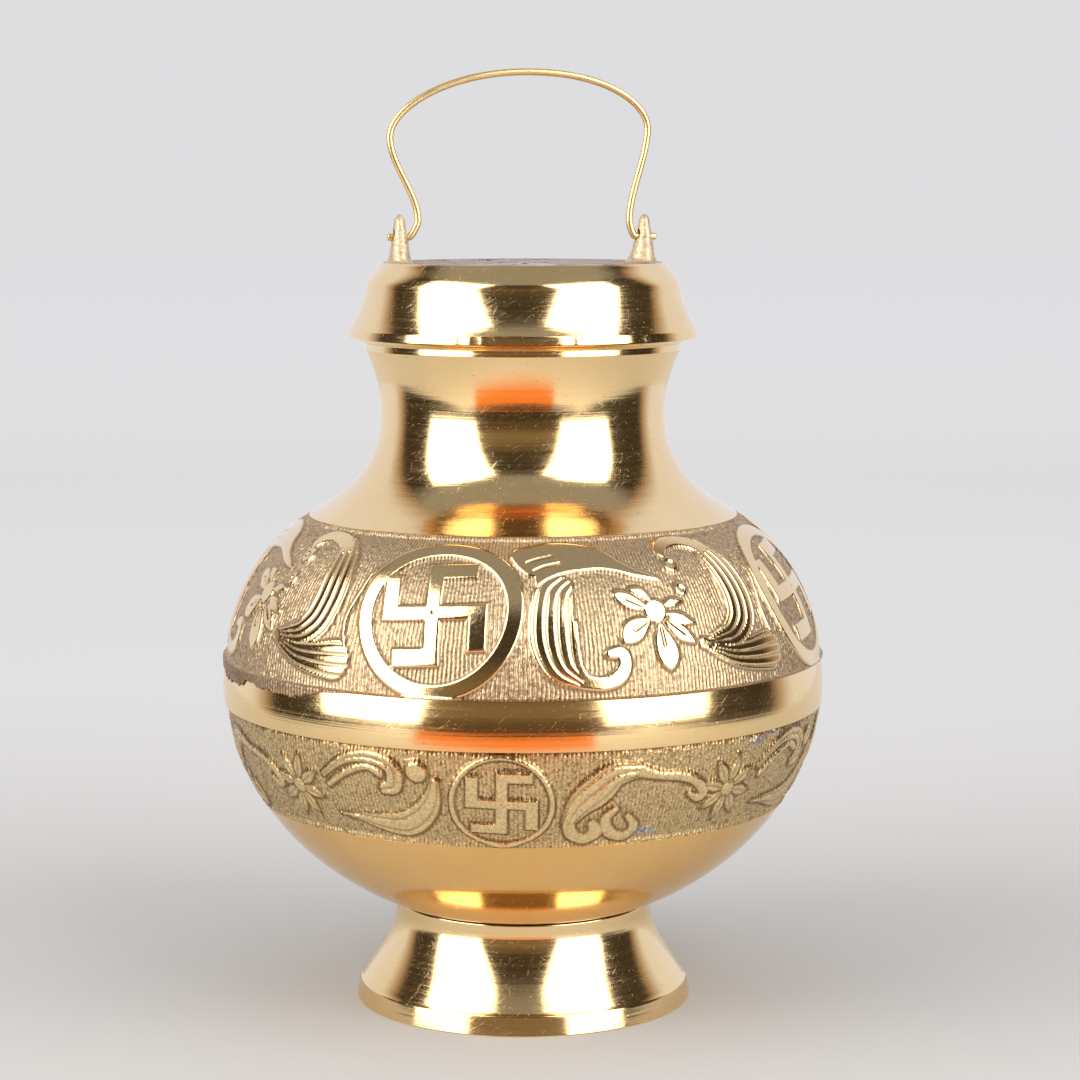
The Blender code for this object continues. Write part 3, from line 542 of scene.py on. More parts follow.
def chased_ground(turn, rise):
    """Upright chisel strokes, uneven and broken into grains, between 0 and 1."""
    sway = 0.6 * ripple(turn, rise, seed=3) + 0.4 * ripple(3 * turn, 2.1 * rise, seed=5)
    strokes = 0.5 + 0.5 * np.sin(math.tau * turn / STROKE_PITCH + STROKE_SWAY * sway)
    wander = 7 * ripple(5 * turn, rise, seed=9) + 4 * ripple(9 * turn, 3 * rise, seed=10)
    broken = 0.5 + 0.5 * np.sin(STROKE_BREAKS * rise + wander)
    return strokes * (STROKE_BODY + (1 - STROKE_BODY) * broken)


def cast_grain(shape):
    """Sand grain of a casting: random, a little softened."""
    grain = rng.normal(0, 1, shape)
    return (grain + np.roll(grain, 1, 0) + np.roll(grain, 1, 1)) / 1.73


def slope_share(high):
    """One half way up the sides of the raised forms, nought on top and on the ground."""
    return np.clip(4 * high * (1 - high), 0, 1)


def lower_relief(turn, rise, radius):
    """Relief height in mm, brightness of the high parts, darkness of dirt and painted shade, and solder."""
    across, up = ring_offsets(turn, rise, radius, LOWER_RING_RISE)
    ring = np.abs(np.hypot(across, up) - LOWER_RING_RADIUS) - LOWER_RING_WIDTH / 2
    sign = sign_gap(across, -up, **LOWER_SIGN)
    high = raised_share(np.minimum(ring, sign), LOWER_RING_SLOPE)
    heart = [(0, [(*LOWER_FLOWER, LOWER_HEART), (LOWER_FLOWER[0] + 0.1, LOWER_FLOWER[1], LOWER_HEART)])]
    petals = petal_forms(LOWER_FLOWER, BELLY_RADIUS / MM, LOWER_PETALS, PETAL_OFFSET, LOWER_PETAL)
    body, cuts = raised_forms(turn, rise, radius, LOWER_FORMS + heart + petals, LOWER_FORM_SLOPE)
    high = np.maximum(high, body)
    solder = np.zeros(turn.shape)
    for smear_turn, smear_rise, wide, tall in SOLDER_SMEARS:
        aside = (turn - smear_turn) * math.radians(1) * radius / wide
        solder = np.maximum(solder, np.exp(-aside ** 2 - ((rise - smear_rise) / tall) ** 2))
    grain = cast_grain(turn.shape)
    ragged = 0.35 * ripple(25 * turn, 4 * rise, seed=8) + 0.1 * grain
    solder = np.clip(SMEAR_GAIN * solder - SMEAR_EDGE + ragged, 0, 1)
    ground = chased_ground(turn, rise)
    worn = 0.5 + 0.5 * ripple(2 * turn, rise, seed=14)
    seam = np.clip(1.3 - rise / SEAM_WIDTH + 0.8 * ripple(11 * turn, rise, seed=17), 0, 1)
    height = high * LOWER_RELIEF + (1 - high) * (0.10 + 0.14 * worn) * ground + LOWER_GRAIN * grain
    height += SMEAR_HEIGHT * solder - SEAM_DEPTH * seam - VEIN_DEPTH * cuts
    # Painted shade and dirt: the ground's troughs, the grain, the slopes of the forms, the seam under the
    # belt and the cut veins are painted dark.
    dark = LOWER_DIRT_AND_SHADE["ground"] * (1 - high) * (1 - ground)
    dark += LOWER_DIRT_AND_SHADE["grain"] * np.clip(grain, 0, 2) * (1 - 0.6 * high)
    dark += LOWER_DIRT_AND_SHADE["edge"] * slope_share(high) + LOWER_DIRT_AND_SHADE["seam"] * seam + LOWER_DIRT_AND_SHADE["vein"] * cuts
    return height, high * (1 - 0.5 * cuts), np.clip(dark, 0, 1), solder


def relief_quarter(name, walk, low_edge, turn_start, turn_zero, rise_range, relief, ground_depth):
    """A quarter of a relief band: a fine front, a plain back and closed edges.

    walk gives radius, height and outward normal at a rise; low_edge gives the rise where the
    front starts at each turn."""
    rise_low, rise_high = rise_range
    columns = int(QUARTER * math.radians(1) * BELLY_RADIUS / MM / COLUMN)
    rows = int((rise_high - rise_low) / ROW)
    turns = turn_start + np.linspace(0, QUARTER, columns + 1)
    start = low_edge(turns)
    share = np.linspace(0, 1, rows + 1)[:, None]
    rises = start[None, :] + (rise_high - start[None, :]) * share
    turn_grid = np.repeat(turns[None, :], rows + 1, 0)
    radius, height, out_r, out_z = walk(rises)
    relief_mm, bright, dark, solder = relief((turn_grid - turn_zero) % 360.0, rises, radius / MM)
    lift = relief_mm * MM - ground_depth(rises)
    angle = np.radians(turn_grid)
    front_r = radius + out_r * lift
    front = np.stack([front_r * np.sin(angle), -front_r * np.cos(angle), height + out_z * lift], -1)
    back_share = np.linspace(0, 1, BACK_ROWS + 1)[:, None]
    back_rises = np.maximum(rise_low + (rise_high - rise_low) * back_share, BAND_START) + 0 * turns[None, :]
    radius, height, out_r, out_z = walk(back_rises)
    back_r = radius - out_r * BAND_BACK
    angle = np.radians(np.repeat(turns[None, :], BACK_ROWS + 1, 0))
    back = np.stack([back_r * np.sin(angle), -back_r * np.cos(angle), height - out_z * BAND_BACK], -1)
    points = np.concatenate([front.reshape(-1, 3), back.reshape(-1, 3)])
    wide = columns + 1
    front_index = np.arange((rows + 1) * wide).reshape(rows + 1, wide)
    back_index = np.arange((BACK_ROWS + 1) * wide).reshape(BACK_ROWS + 1, wide) + front_index.size

    def quads(index, flip):
        loop = [index[:-1, :-1], index[:-1, 1:], index[1:, 1:], index[1:, :-1]]
        return np.stack(loop[::-1] if flip else loop, -1).reshape(-1, 4).tolist()

    faces = quads(front_index, False) + quads(back_index, True)
    faces += quads(np.stack([back_index[0], front_index[0]]), False)
    faces += quads(np.stack([front_index[-1], back_index[-1]]), False)
    faces.append([*front_index[:, 0][::-1].tolist(), *back_index[:, 0].tolist()])
    faces.append([*front_index[:, -1].tolist(), *back_index[:, -1][::-1].tolist()])
    mesh = bpy.data.meshes.new(name)
    mesh.from_pydata(points.tolist(), [], faces)
    for layer, values in zip(RELIEF_LAYERS, (bright, dark, solder)):
        attribute = mesh.attributes.new(layer, "FLOAT", "POINT")
        spread = np.zeros(len(points), np.float32)
        spread[:front_index.size] = values.ravel()
        attribute.data.foreach_set("value", spread)
    mesh.update()
    piece = bpy.data.objects.new(name, mesh)
    bpy.context.collection.objects.link(piece)
    bpy.ops.object.select_all(action="DESELECT")
    piece.select_set(True)
    bpy.context.view_layer.objects.active = piece
    finish_mesh(RELIEF_SMOOTH, weld=False)
    return piece


def walk_table(points):
    """Look-ups of radius, height and normal by distance walked along an outline."""
    spots = np.array([(p.x, p.z) for p in points])
    runs = np.gradient(spots, axis=0)
    runs /= np.linalg.norm(runs, axis=1)[:, None]
    walked = np.concatenate([[0], np.cumsum(np.linalg.norm(np.diff(spots, axis=0), axis=1))]) / MM
    return walked, spots, runs


CAST_GRAIN = 1300.0
CAST_STAINS = 60.0
STAIN_CUT = [(0.35, 0.0), (0.70, 1.0)]
STAIN_SHADE = 0.95
HIGH_CUT = [(0.50, 0.0), (0.88, 1.0)]
SMEAR_TONES = [(0.40, (0.24, 0.21, 0.20)), (0.60, (0.66, 0.64, 0.63))]
MID_GREY = (0.5, 0.5, 0.5)


def chased_metal(name, high_tone, ground_tone, dirt_and_shade_tone, high_gloss, ground_gloss, skin, speckle,
                 worn=0.35):
    """Cast brass with brushed high parts and a dull ground darkened by dirt and painted shade, by the
    relief's own attributes.
    """
    material, tree, shader, place = new_finish(name)
    bright, dark, solder = [add_node(tree, "ShaderNodeAttribute", attribute_name=layer).outputs["Fac"]
                            for layer in RELIEF_LAYERS]
    grain = noise(tree, place, CAST_GRAIN, detail=3.0, rough=0.6)
    stain = noise(tree, place, CAST_STAINS, detail=4.0, rough=0.6)
    grit = noise(tree, place, SPECKS, detail=3.0, rough=0.7)
    specks = ramp(tree, grit, [(0.36, speckle), (0.58, 0.0)])
    high_share = ramp(tree, bright, HIGH_CUT)
    # The dark attribute mixes in the dark tone: dirt, and painted shade in the relief's hollows and on its
    # slopes.
    ground = mixed(tree, lighter(tree, dark, specks), ground_tone, dirt_and_shade_tone)
    stained = tuple(STAIN_SHADE * tone for tone in high_tone)
    high = mixed(tree, ramp(tree, stain, STAIN_CUT), stained, high_tone)
    high = mixed(tree, ramp(tree, specks, [(0.0, 0.0), (1.0, worn)]), high, dirt_and_shade_tone)
    brass = mixed(tree, high_share, ground, high)
    colour = mixed(tree, solder, brass, ramp(tree, grain, SMEAR_TONES))
    high_rough = ramp(tree, grain, [(0.3, high_gloss), (0.8, high_gloss + 0.12)])
    ground_rough = ramp(tree, grain, [(0.3, ground_gloss - 0.1), (0.7, ground_gloss + 0.1)])
    rough = mixed(tree, high_share, ground_rough, high_rough)
    brushed = ramp(tree, high_share, [(0.0, 0.0), (1.0, 1.1 - worn)])
    rough_skin = mixed(tree, brushed, grain, MID_GREY)
    dress(tree, shader, colour, rough, bumped(tree, rough_skin, 0.6, skin))
    return material


LOWER_WALK_POINTS = 200
lower_top_angle = -math.asin(BELT_HEIGHT / 2 / bowl_depth)
lower_walked, lower_spots, lower_runs = walk_table(
    ellipse_walk(bowl_middle, BELLY_RADIUS, bowl_depth, lower_top_angle, band_low_angle, LOWER_WALK_POINTS))


def lower_walk(rise):
    """The lower band's surface, walked down from the belt."""
    look = [np.interp(rise, lower_walked, column) for column in (*lower_spots.T, *lower_runs.T)]
    return look[0], look[1], -look[3], look[2]


LOWER_END = float(lower_walked[-1])
LOWER_GROUND = 0.8 * MM
GROUND_RUNOUT = 1.3
LOWER_RUNOUT_END = 0.15


def lower_ground(rise):
    """Depth of the ground under the turned skin; it runs out at the band's lower edge."""
    return LOWER_GROUND * np.clip((LOWER_END - rise) / GROUND_RUNOUT, LOWER_RUNOUT_END, 1)


lower_band_brass = chased_metal(
    "lower_band_brass", high_tone=(0.98, 0.74, 0.39), ground_tone=(0.98, 0.75, 0.40),
    dirt_and_shade_tone=(0.26, 0.15, 0.06), high_gloss=0.17, ground_gloss=0.30, skin=0.24 * MM, speckle=0.8,
    worn=0.6)
for quarter in range(4):
    name = f"lower_band_{quarter + 1}"
    band = relief_quarter(name, lower_walk, lambda turns: np.full(turns.shape, BAND_START),
                          QUARTER * quarter, LOWER_RING_TURN, (BAND_START, LOWER_END), lower_relief,
                          lower_ground)
    band.data.materials.append(lower_band_brass)
    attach(band, "pot")

# Upper shell
# The upper half of the belly, cast in one with the neck. The belt, the neck and the flared lip are
# turned and polished; the belt covers the joint with the bowl.
BELT_RADIUS = 82.7 * MM
BELT_CROWN = 0.55 * MM
BELT_LEAN = 0.35 * MM
SHOULDER_SWEEP = 42.5 * MM
SHOULDER_RISE = 50.1 * MM
SHOULDER_EDGE_RADIUS = 58.9 * MM
THROAT_RADIUS = 39.2 * MM
NECK_RISE = 27.4 * MM
LIP_FLARE = 40.0 * MM
LIP_FACET_DROP = 3.0 * MM
LIP_FACET_HEIGHT = 1.7 * MM
LIP_FACET_LEAN = 0.1 * MM
SOLDER_GROOVE = 1.6 * MM
FACET_ROUND = 0.3 * MM
NECK_LEAVE = 10 * MM
NECK_ARRIVE = 16 * MM
BELT_REACH = 0.97
BELT_POINTS = 25
UPPER_POCKET_POINTS = 16
NECK_POINTS = 60
LIP_POINTS = 32
SHOULDER_INSIDE_POINTS = 24

shoulder_middle = spot(BELLY_RADIUS - SHOULDER_SWEEP, belly_level)
belt_top_angle = math.asin(BELT_HEIGHT / 2 / SHOULDER_RISE)
edge_angle = math.acos((SHOULDER_EDGE_RADIUS - shoulder_middle.x) / SHOULDER_SWEEP)
edge = shoulder_middle + spot(SHOULDER_SWEEP * math.cos(edge_angle), SHOULDER_RISE * math.sin(edge_angle))
edge_run = spot(-SHOULDER_SWEEP * math.sin(edge_angle), SHOULDER_RISE * math.cos(edge_angle)).normalized()
throat = spot(THROAT_RADIUS, edge.z + NECK_RISE)
lip_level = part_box("upper_shell")[1].z
lip_angle = math.asin((lip_level - throat.z) / LIP_FLARE)
belt = []
for across in np.linspace(-BELT_REACH, BELT_REACH, BELT_POINTS):
    belt_radius = BELT_RADIUS - BELT_CROWN * across ** 2 - BELT_LEAN * across
    belt.append(spot(belt_radius, belly_level + BELT_HEIGHT / 2 * across))
upper_pocket = ellipse_walk(shoulder_middle, SHOULDER_SWEEP, SHOULDER_RISE, belt_top_angle, edge_angle,
                            UPPER_POCKET_POINTS, BAND_POCKET)
neck = interpolate_bezier(edge, edge + edge_run * NECK_LEAVE, throat - spot(0, NECK_ARRIVE), throat,
                          NECK_POINTS)
facet_angle = math.asin((lip_level - LIP_FACET_DROP - throat.z) / LIP_FLARE)
lip = [throat + spot(LIP_FLARE * (1 - math.cos(turn)), LIP_FLARE * math.sin(turn))
       for turn in np.linspace(0, facet_angle, LIP_POINTS)[1:]]
lip_facet = lip[-1] + spot(-LIP_FACET_LEAN, LIP_FACET_HEIGHT)
lip_tip = spot(throat.x + LIP_FLARE * (1 - math.cos(lip_angle)), lip_level)
neck_bore = THROAT_RADIUS - BOWL_WALL
neck_inside = inward(neck, BOWL_WALL)
solder_ledge = belt_bottom + TONGUE_HEIGHT + SOLDER_GROOVE + 2 * SEAM
ledge_angle = math.asin((solder_ledge - belly_level) / SHOULDER_RISE)
shoulder_inside = ellipse_walk(shoulder_middle, SHOULDER_SWEEP, SHOULDER_RISE, edge_angle, ledge_angle,
                               SHOULDER_INSIDE_POINTS, BOWL_WALL)
belt_low = spot(belt[0].x - EDGE_ROUND, belt_bottom)
belt_high = spot(belt[-1].x - EDGE_ROUND, belt_bottom + BELT_HEIGHT)
upper_outline = [
    spot(tongue + SEAM, belt_bottom),
    belt_low,
    *belt,
    belt_high,
    *upper_pocket,
    *rounded(upper_pocket[-1], edge, neck[1]),
    *neck[2:],
    *lip[:-1],
    *rounded(lip[-2], lip[-1], lip_facet, FACET_ROUND),
    *rounded(lip[-1], lip_facet, lip_tip, FACET_ROUND),
    *rounded(lip_facet, lip_tip, spot(neck_bore, lip_level)),
    spot(neck_bore, lip_level),
    *reversed(neck_inside[1:]),
    *shoulder_inside[:-1],
    spot(inner_belly, solder_ledge),
    spot(tongue + SEAM, solder_ledge),
]
shell = turn_on_lathe("upper_shell_body", upper_outline)
shell.data.materials.append(polished_brass)
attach(shell, "pot")
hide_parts("upper_shell")

# Upper relief band
# The band between belt and neck: a broad ring with the auspicious sign, a veined leaf under a crest,
# a seven-petalled flower and a feathered plume, four times round. The flat high parts are polished.
UPPER_RING_TURN = VIEW_TURN - 16.35
UPPER_RING_RISE = 21.4
UPPER_RING_RADIUS = 19.9
UPPER_RING_WIDTH = 4.6
UPPER_RING_SLOPE = 0.6
UPPER_FORM_SLOPE = 0.7
GROOVE_SLOPE = 0.4
UPPER_SIGN = {"arm": 14.2, "hook": 10.8, "bar": 4.3, "hook_bar": 5.0, "lean": math.radians(4)}
UPPER_SIGN_SHIFT = (-1.2, 0.8)
UPPER_RELIEF = 0.75
UPPER_STROKE = 0.2
UPPER_GRAIN = 0.045
# How dark each kind of place is painted: dirt in the grain; dirt and painted shade in the troughs of the
# ground strokes; darker over the lap and along the belt's edge; painted shade in the cut veins and grooves
# and on the slopes of the forms.
UPPER_DIRT_AND_SHADE = {"ground": 0.62, "grain": 0.25, "lap": 0.35, "vein": 0.4, "edge": 0.5}
UPPER_GROUND = 0.65 * MM
UPPER_RUNOUT_END = 0.3
UPPER_WALK_POINTS = 240
LAP_PROUD = 0.45 * MM
LAP_STEP = 0.6
LAP_FADE = 0.4

UPPER_FORMS = [
    (4, [(25.0, 30.4, 2.0), (23.9, 29.6, 3.8), (22.8, 27.6, 5.0), (22.3, 24.6, 5.5), (22.0, 20.8, 5.9),
         (22.0, 15.6, 6.0), (22.7, 10.8, 5.1), (24.0, 7.6, 3.9), (26.3, 5.2, 2.3)]),
    (0, [(23.6, 7.6, 2.0), (25.9, 5.7, 2.4), (28.5, 4.4, 2.0), (31.3, 4.0, 1.9), (33.9, 5.5, 2.2),
         (35.3, 8.5, 2.0), (34.8, 11.4, 1.9), (32.6, 11.5, 1.4)]),
    (0, [(26.3, 19.6, 1.2), (26.0, 14.0, 1.7), (26.2, 9.0, 1.9), (27.2, 6.0, 1.9)]),
    (0, [(16.6, 39.6, 3.2), (20.0, 38.0, 5.5), (23.4, 38.6, 5.9), (28.1, 39.1, 5.0), (32.9, 38.3, 3.8),
         (36.9, 35.8, 2.2), (40.8, 33.2, 1.4), (44.9, 31.3, 0.9), (46.6, 30.4, 0.2)]),
    (0, [(22.6, 35.2, 3.6), (20.6, 32.0, 2.0), (19.5, 29.9, 0.4)]),
    (0, [(43.0, 22.1, 3.3), (43.1, 22.1, 3.3)]),
    (0, [(40.9, 23.2, 0.9), (38.2, 24.9, 2.3), (36.2, 26.6, 1.8), (35.0, 27.7, 0.2)]),
    (0, [(41.0, 19.6, 1.0), (37.9, 17.2, 3.1), (36.0, 15.0, 1.4)]),
    (0, [(43.4, 18.0, 0.9), (43.7, 13.8, 2.8), (44.2, 10.2, 3.2), (44.3, 6.8, 0.8)]),
    (0, [(45.1, 18.6, 0.9), (47.6, 15.8, 2.3), (50.2, 13.0, 0.7)]),
    (0, [(45.7, 20.8, 0.8), (48.2, 19.4, 1.8), (51.1, 18.0, 0.5)]),
    (0, [(45.4, 23.4, 0.7), (47.3, 24.0, 1.4), (49.6, 24.2, 0.4)]),
    (0, [(42.2, 25.4, 0.9), (40.6, 27.4, 1.6), (38.6, 28.4, 0.5)]),
    (0, [(52.2, 12.4, 1.7), (53.6, 11.8, 1.6)]),
    (0, [(50.4, 35.1, 2.5), (50.5, 35.1, 2.5)]),
    (0, [(50.3, 27.6, 1.9), (50.4, 27.5, 1.9)]),
    (0, [(50.2, 37.4, 0.8), (49.7, 39.6, 1.8), (51.6, 42.0, 2.2), (55.3, 42.7, 2.1), (59.2, 41.6, 2.3),
         (62.0, 39.4, 2.8)]),
    (4, [(61.5, 40.6, 2.6), (63.6, 34.4, 4.6), (64.6, 28.2, 5.2), (64.6, 22.5, 5.4), (63.3, 17.3, 5.2),
         (59.8, 13.8, 3.8), (54.6, 12.8, 1.8)]),
    (4, [(52.9, 10.9, 0.7), (55.5, 10.0, 2.0), (59.6, 8.4, 3.2), (64.5, 7.9, 4.4), (69.5, 8.0, 5.4)]),
    (0, [(73.4, 33.4, 0.6), (72.2, 27.0, 0.7), (70.6, 18.6, 0.7), (71.6, 12.0, 0.7)]),
]
UPPER_GROOVES = [
    [(19.6, 29.6, 0.3), (21.4, 31.3, 0.3), (23.4, 32.7, 0.3), (25.6, 33.6, 0.3), (28.1, 34.2, 0.2)],
    [(19.0, 34.6, 0.3), (21.4, 36.0, 0.3), (24.8, 37.0, 0.3)],
    [(17.4, 37.2, 0.3), (20.2, 38.6, 0.3), (23.4, 39.6, 0.2)],
    [(40.6, 23.4, 0.2), (37.6, 25.6, 0.3)],
    [(40.6, 19.2, 0.3), (38.0, 17.2, 0.4)],
    [(43.4, 17.6, 0.3), (43.6, 12.6, 0.3)],
    [(45.4, 18.9, 0.2), (48.4, 15.4, 0.3)],
    [(50.4, 35.1, 1.0), (50.5, 35.1, 1.0)],
    [(50.3, 27.6, 0.7), (50.4, 27.5, 0.7)],
]
# How far the cast skin laps over the belt, as (turn, reach in mm); the other turns have no lap.
LAP_STATIONS = [(VIEW_TURN + turn, reach) for turn, reach in (
    (-96.0, 0.0), (-88.0, 1.0), (-78.0, 3.4), (-70.0, 4.4), (-64.5, 3.8), (-61.5, 1.8), (-57.5, 3.0),
    (-53.0, 2.7), (-48.5, 3.3), (-44.5, 2.6), (-38.0, 0.7), (-31.0, 0.0))]

upper_walked, upper_spots, upper_runs = walk_table(
    ellipse_walk(shoulder_middle, SHOULDER_SWEEP, SHOULDER_RISE, belt_top_angle, edge_angle,
                 UPPER_WALK_POINTS))
UPPER_END = float(upper_walked[-1])


def upper_walk(rise):
    """The upper band's surface, walked up from the belt; a lap over the belt follows the belt."""
    look = [np.interp(rise, upper_walked, column) for column in (*upper_spots.T, *upper_runs.T)]
    below = np.minimum(rise, 0.0) * MM
    return look[0], look[1] + below, look[3], -look[2]


def upper_low_edge(turns):
    """The band starts at the belt, except on one side where the cast skin laps over it raggedly."""
    signed = (turns + 180.0) % 360.0 - 180.0
    lap_turns, reaches = zip(*LAP_STATIONS)
    lap = np.interp(signed, lap_turns, reaches)
    ragged = 0.14 * ripple(9 * turns, 0 * turns, seed=21) + 0.06 * ripple(33 * turns, 0 * turns, seed=22)
    return -lap * np.clip(1 + 2 * ragged, 0.4, 1.3)


def upper_ground(rise):
    """Depth of the ground under the turned skin; a lap over the belt stands proud instead."""
    runout = np.clip((UPPER_END - rise) / GROUND_RUNOUT, UPPER_RUNOUT_END, 1)
    sinking = (LAP_PROUD + UPPER_GROUND) * np.clip(rise / LAP_STEP, 0, 1) - LAP_PROUD
    return np.where(rise < LAP_STEP, sinking, UPPER_GROUND * runout)


def upper_relief(turn, rise, radius):
    """Relief height in mm, brightness of the high parts, darkness of dirt and painted shade, and no solder.
    """
    across, up = ring_offsets(turn, rise, radius, UPPER_RING_RISE)
    ring = np.abs(np.hypot(across, up) - UPPER_RING_RADIUS) - UPPER_RING_WIDTH / 2
    sign = sign_gap(across - UPPER_SIGN_SHIFT[0], up - UPPER_SIGN_SHIFT[1], **UPPER_SIGN)
    high = raised_share(np.minimum(ring, sign), UPPER_RING_SLOPE)
    body, cuts = raised_forms(turn, rise, radius, UPPER_FORMS, UPPER_FORM_SLOPE)
    high = np.maximum(high, body)
    for route in UPPER_GROOVES:
        gap = stroke_gap(turn, rise, radius, route)[0]
        cuts = np.maximum(cuts, raised_share(gap, GROOVE_SLOPE))
    over_belt = np.clip((LAP_FADE - rise) / LAP_FADE, 0, 1)
    high = high * (1 - over_belt)
    ground = chased_ground(turn, rise)
    grain = cast_grain(turn.shape)
    low_skin = UPPER_STROKE * ground + UPPER_GRAIN * grain
    height = high * (UPPER_RELIEF - VEIN_DEPTH * cuts) + (1 - high) * low_skin
    # Painted shade and dirt: the ground's troughs, the grain, the lap, the cut veins and grooves and the
    # slopes of the forms are painted dark.
    ground_dirt_and_shade = UPPER_DIRT_AND_SHADE["ground"] * (1 - ground) + UPPER_DIRT_AND_SHADE["grain"] * np.abs(grain)
    dark = (1 - high) * ground_dirt_and_shade + UPPER_DIRT_AND_SHADE["lap"] * over_belt + UPPER_DIRT_AND_SHADE["vein"] * cuts
    dark += UPPER_DIRT_AND_SHADE["edge"] * slope_share(high)
    return height, high * (1 - 0.5 * cuts), np.clip(dark, 0, 1), np.zeros(turn.shape)


upper_band_brass = chased_metal(
    "upper_band_brass", high_tone=BRASS_BRIGHT, ground_tone=(0.93, 0.72, 0.45),
    dirt_and_shade_tone=(0.30, 0.20, 0.12), high_gloss=0.08, ground_gloss=0.42, skin=0.16 * MM, speckle=0.4)
for quarter in range(4):
    name = f"upper_band_{quarter + 1}"
    band = relief_quarter(name, upper_walk, upper_low_edge, QUARTER * quarter, UPPER_RING_TURN,
                          (0.0, UPPER_END), upper_relief, upper_ground)
    band.data.materials.append(upper_band_brass)
    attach(band, "pot")

# Neck thread ring
# A turned brass collar brazed into the mouth. Its upper part stands above the lip and carries the
# coarse male thread that the lid screws on to.
THREAD_LEAD = 4.0 * MM
THREAD_DEPTH = 1.1 * MM
THREAD_CHAMFER = 0.8 * MM
THREAD_RING_WALL = 2.4 * MM
THREAD_MARGIN = 0.4 * MM
THREAD_FADE = 0.3 * THREAD_LEAD
THREAD_POINTS = 64
CREST_WIDTH = 1.7
FLANK_STEEPNESS = 6.0
WALL_PLAY = 0.05 * MM
RING_STEPS = 144

ring_low, ring_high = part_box("neck_thread_ring")
thread_radius = ring_high.x
spigot_radius = neck_bore - SEAM
ring_bore = spigot_radius - THREAD_RING_WALL
thread_foot = lip_level + SEAM
thread_low = thread_foot + THREAD_MARGIN
thread_high = ring_high.z - THREAD_CHAMFER


def cut_thread(piece, wall_radius, inner, low, high):
    """Move a turned wall in or out along a helix, fading at both ends of the thread."""
    for vertex in piece.data.vertices:
        radius = math.hypot(vertex.co.x, vertex.co.y)
        if abs(radius - wall_radius) > WALL_PLAY or not low < vertex.co.z < high:
            continue
        turn = math.atan2(vertex.co.y, vertex.co.x) / math.tau
        phase = (vertex.co.z / THREAD_LEAD - turn) % 1.0
        ridge = min(max(CREST_WIDTH - abs(phase - 0.5) * FLANK_STEEPNESS, 0.0), 1.0)
        fade = min((vertex.co.z - low) / THREAD_FADE, (high - vertex.co.z) / THREAD_FADE, 1.0)
        depth = THREAD_DEPTH * (1.0 - ridge) * fade
        moved = radius + depth if inner else radius - depth
        vertex.co.x *= moved / radius
        vertex.co.y *= moved / radius
    piece.data.update()


thread_wall = [spot(thread_radius, z) for z in np.linspace(thread_low, thread_high, THREAD_POINTS)]
thread_outline = [
    spot(ring_bore, ring_low.z),
    spot(spigot_radius, ring_low.z),
    spot(spigot_radius, thread_foot),
    spot(thread_radius, thread_foot),
    *thread_wall,
    spot(thread_radius - THREAD_CHAMFER, ring_high.z),
    *rounded(spot(thread_radius, ring_high.z), spot(ring_bore, ring_high.z), spot(ring_bore, ring_low.z)),
]
thread_ring = turn_on_lathe("neck_thread_collar", thread_outline, RING_STEPS)
cut_thread(thread_ring, thread_radius, False, thread_low, thread_high)
thread_ring.data.materials.append(polished_brass)
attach(thread_ring, "pot")
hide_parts("neck_thread_ring")

# Sealing washer
# A flat rubber washer under the lid's crown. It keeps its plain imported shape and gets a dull,
# slightly dusty black finish.
RUBBER_BLACK = (0.012, 0.012, 0.012)
RUBBER_DUST = (0.05, 0.048, 0.045)
DUST = 260.0
washer_rubber, tree, shader, place = new_finish("washer_rubber", metallic=0.0)
dust = noise(tree, place, DUST, detail=4.0, rough=0.6)
dress(tree, shader,
      ramp(tree, dust, [(0.35, RUBBER_BLACK), (0.75, RUBBER_DUST)]),
      ramp(tree, dust, [(0.3, 0.65), (0.8, 0.9)]))
coat_node("sealing_washer", washer_rubber)

# Lid shell
# A bell-shaped lid, cast and then turned and polished down its side. The rim is a thin straight
# band that overhangs the lip, and the inside is bored for the thread ring and the washer.
LID_WALL = 1.4 * MM
LID_RIM_HEIGHT = 2.2 * MM
LID_RIM_TAPER = 0.4 * MM
LID_WAIST_RISE = 14.3 * MM
LID_FLANK_FLARE = 2.0 * MM
LID_WAIST_LEAN = 0.175
LID_TOP_INSET = 3.7 * MM
LID_TOP_DROP = 0.4 * MM
CROWN_POCKET = 1.2 * MM
WASHER_PLAY = 0.6 * MM
RIM_ROUND = 0.25 * MM
TOP_LEDGE = 0.5 * MM
FLANK_POINTS = 28
NICK_DEPTH = 0.25 * MM
# Small dents on the front of the rim: turn and half width in degrees.
RIM_NICKS = [(VIEW_TURN + turn, half) for turn, half in (
    (-19.0, 2.2), (-14.5, 1.8), (-10.0, 2.4), (-5.5, 2.0), (-1.5, 1.8), (15.5, 1.7), (41.0, 2.0))]

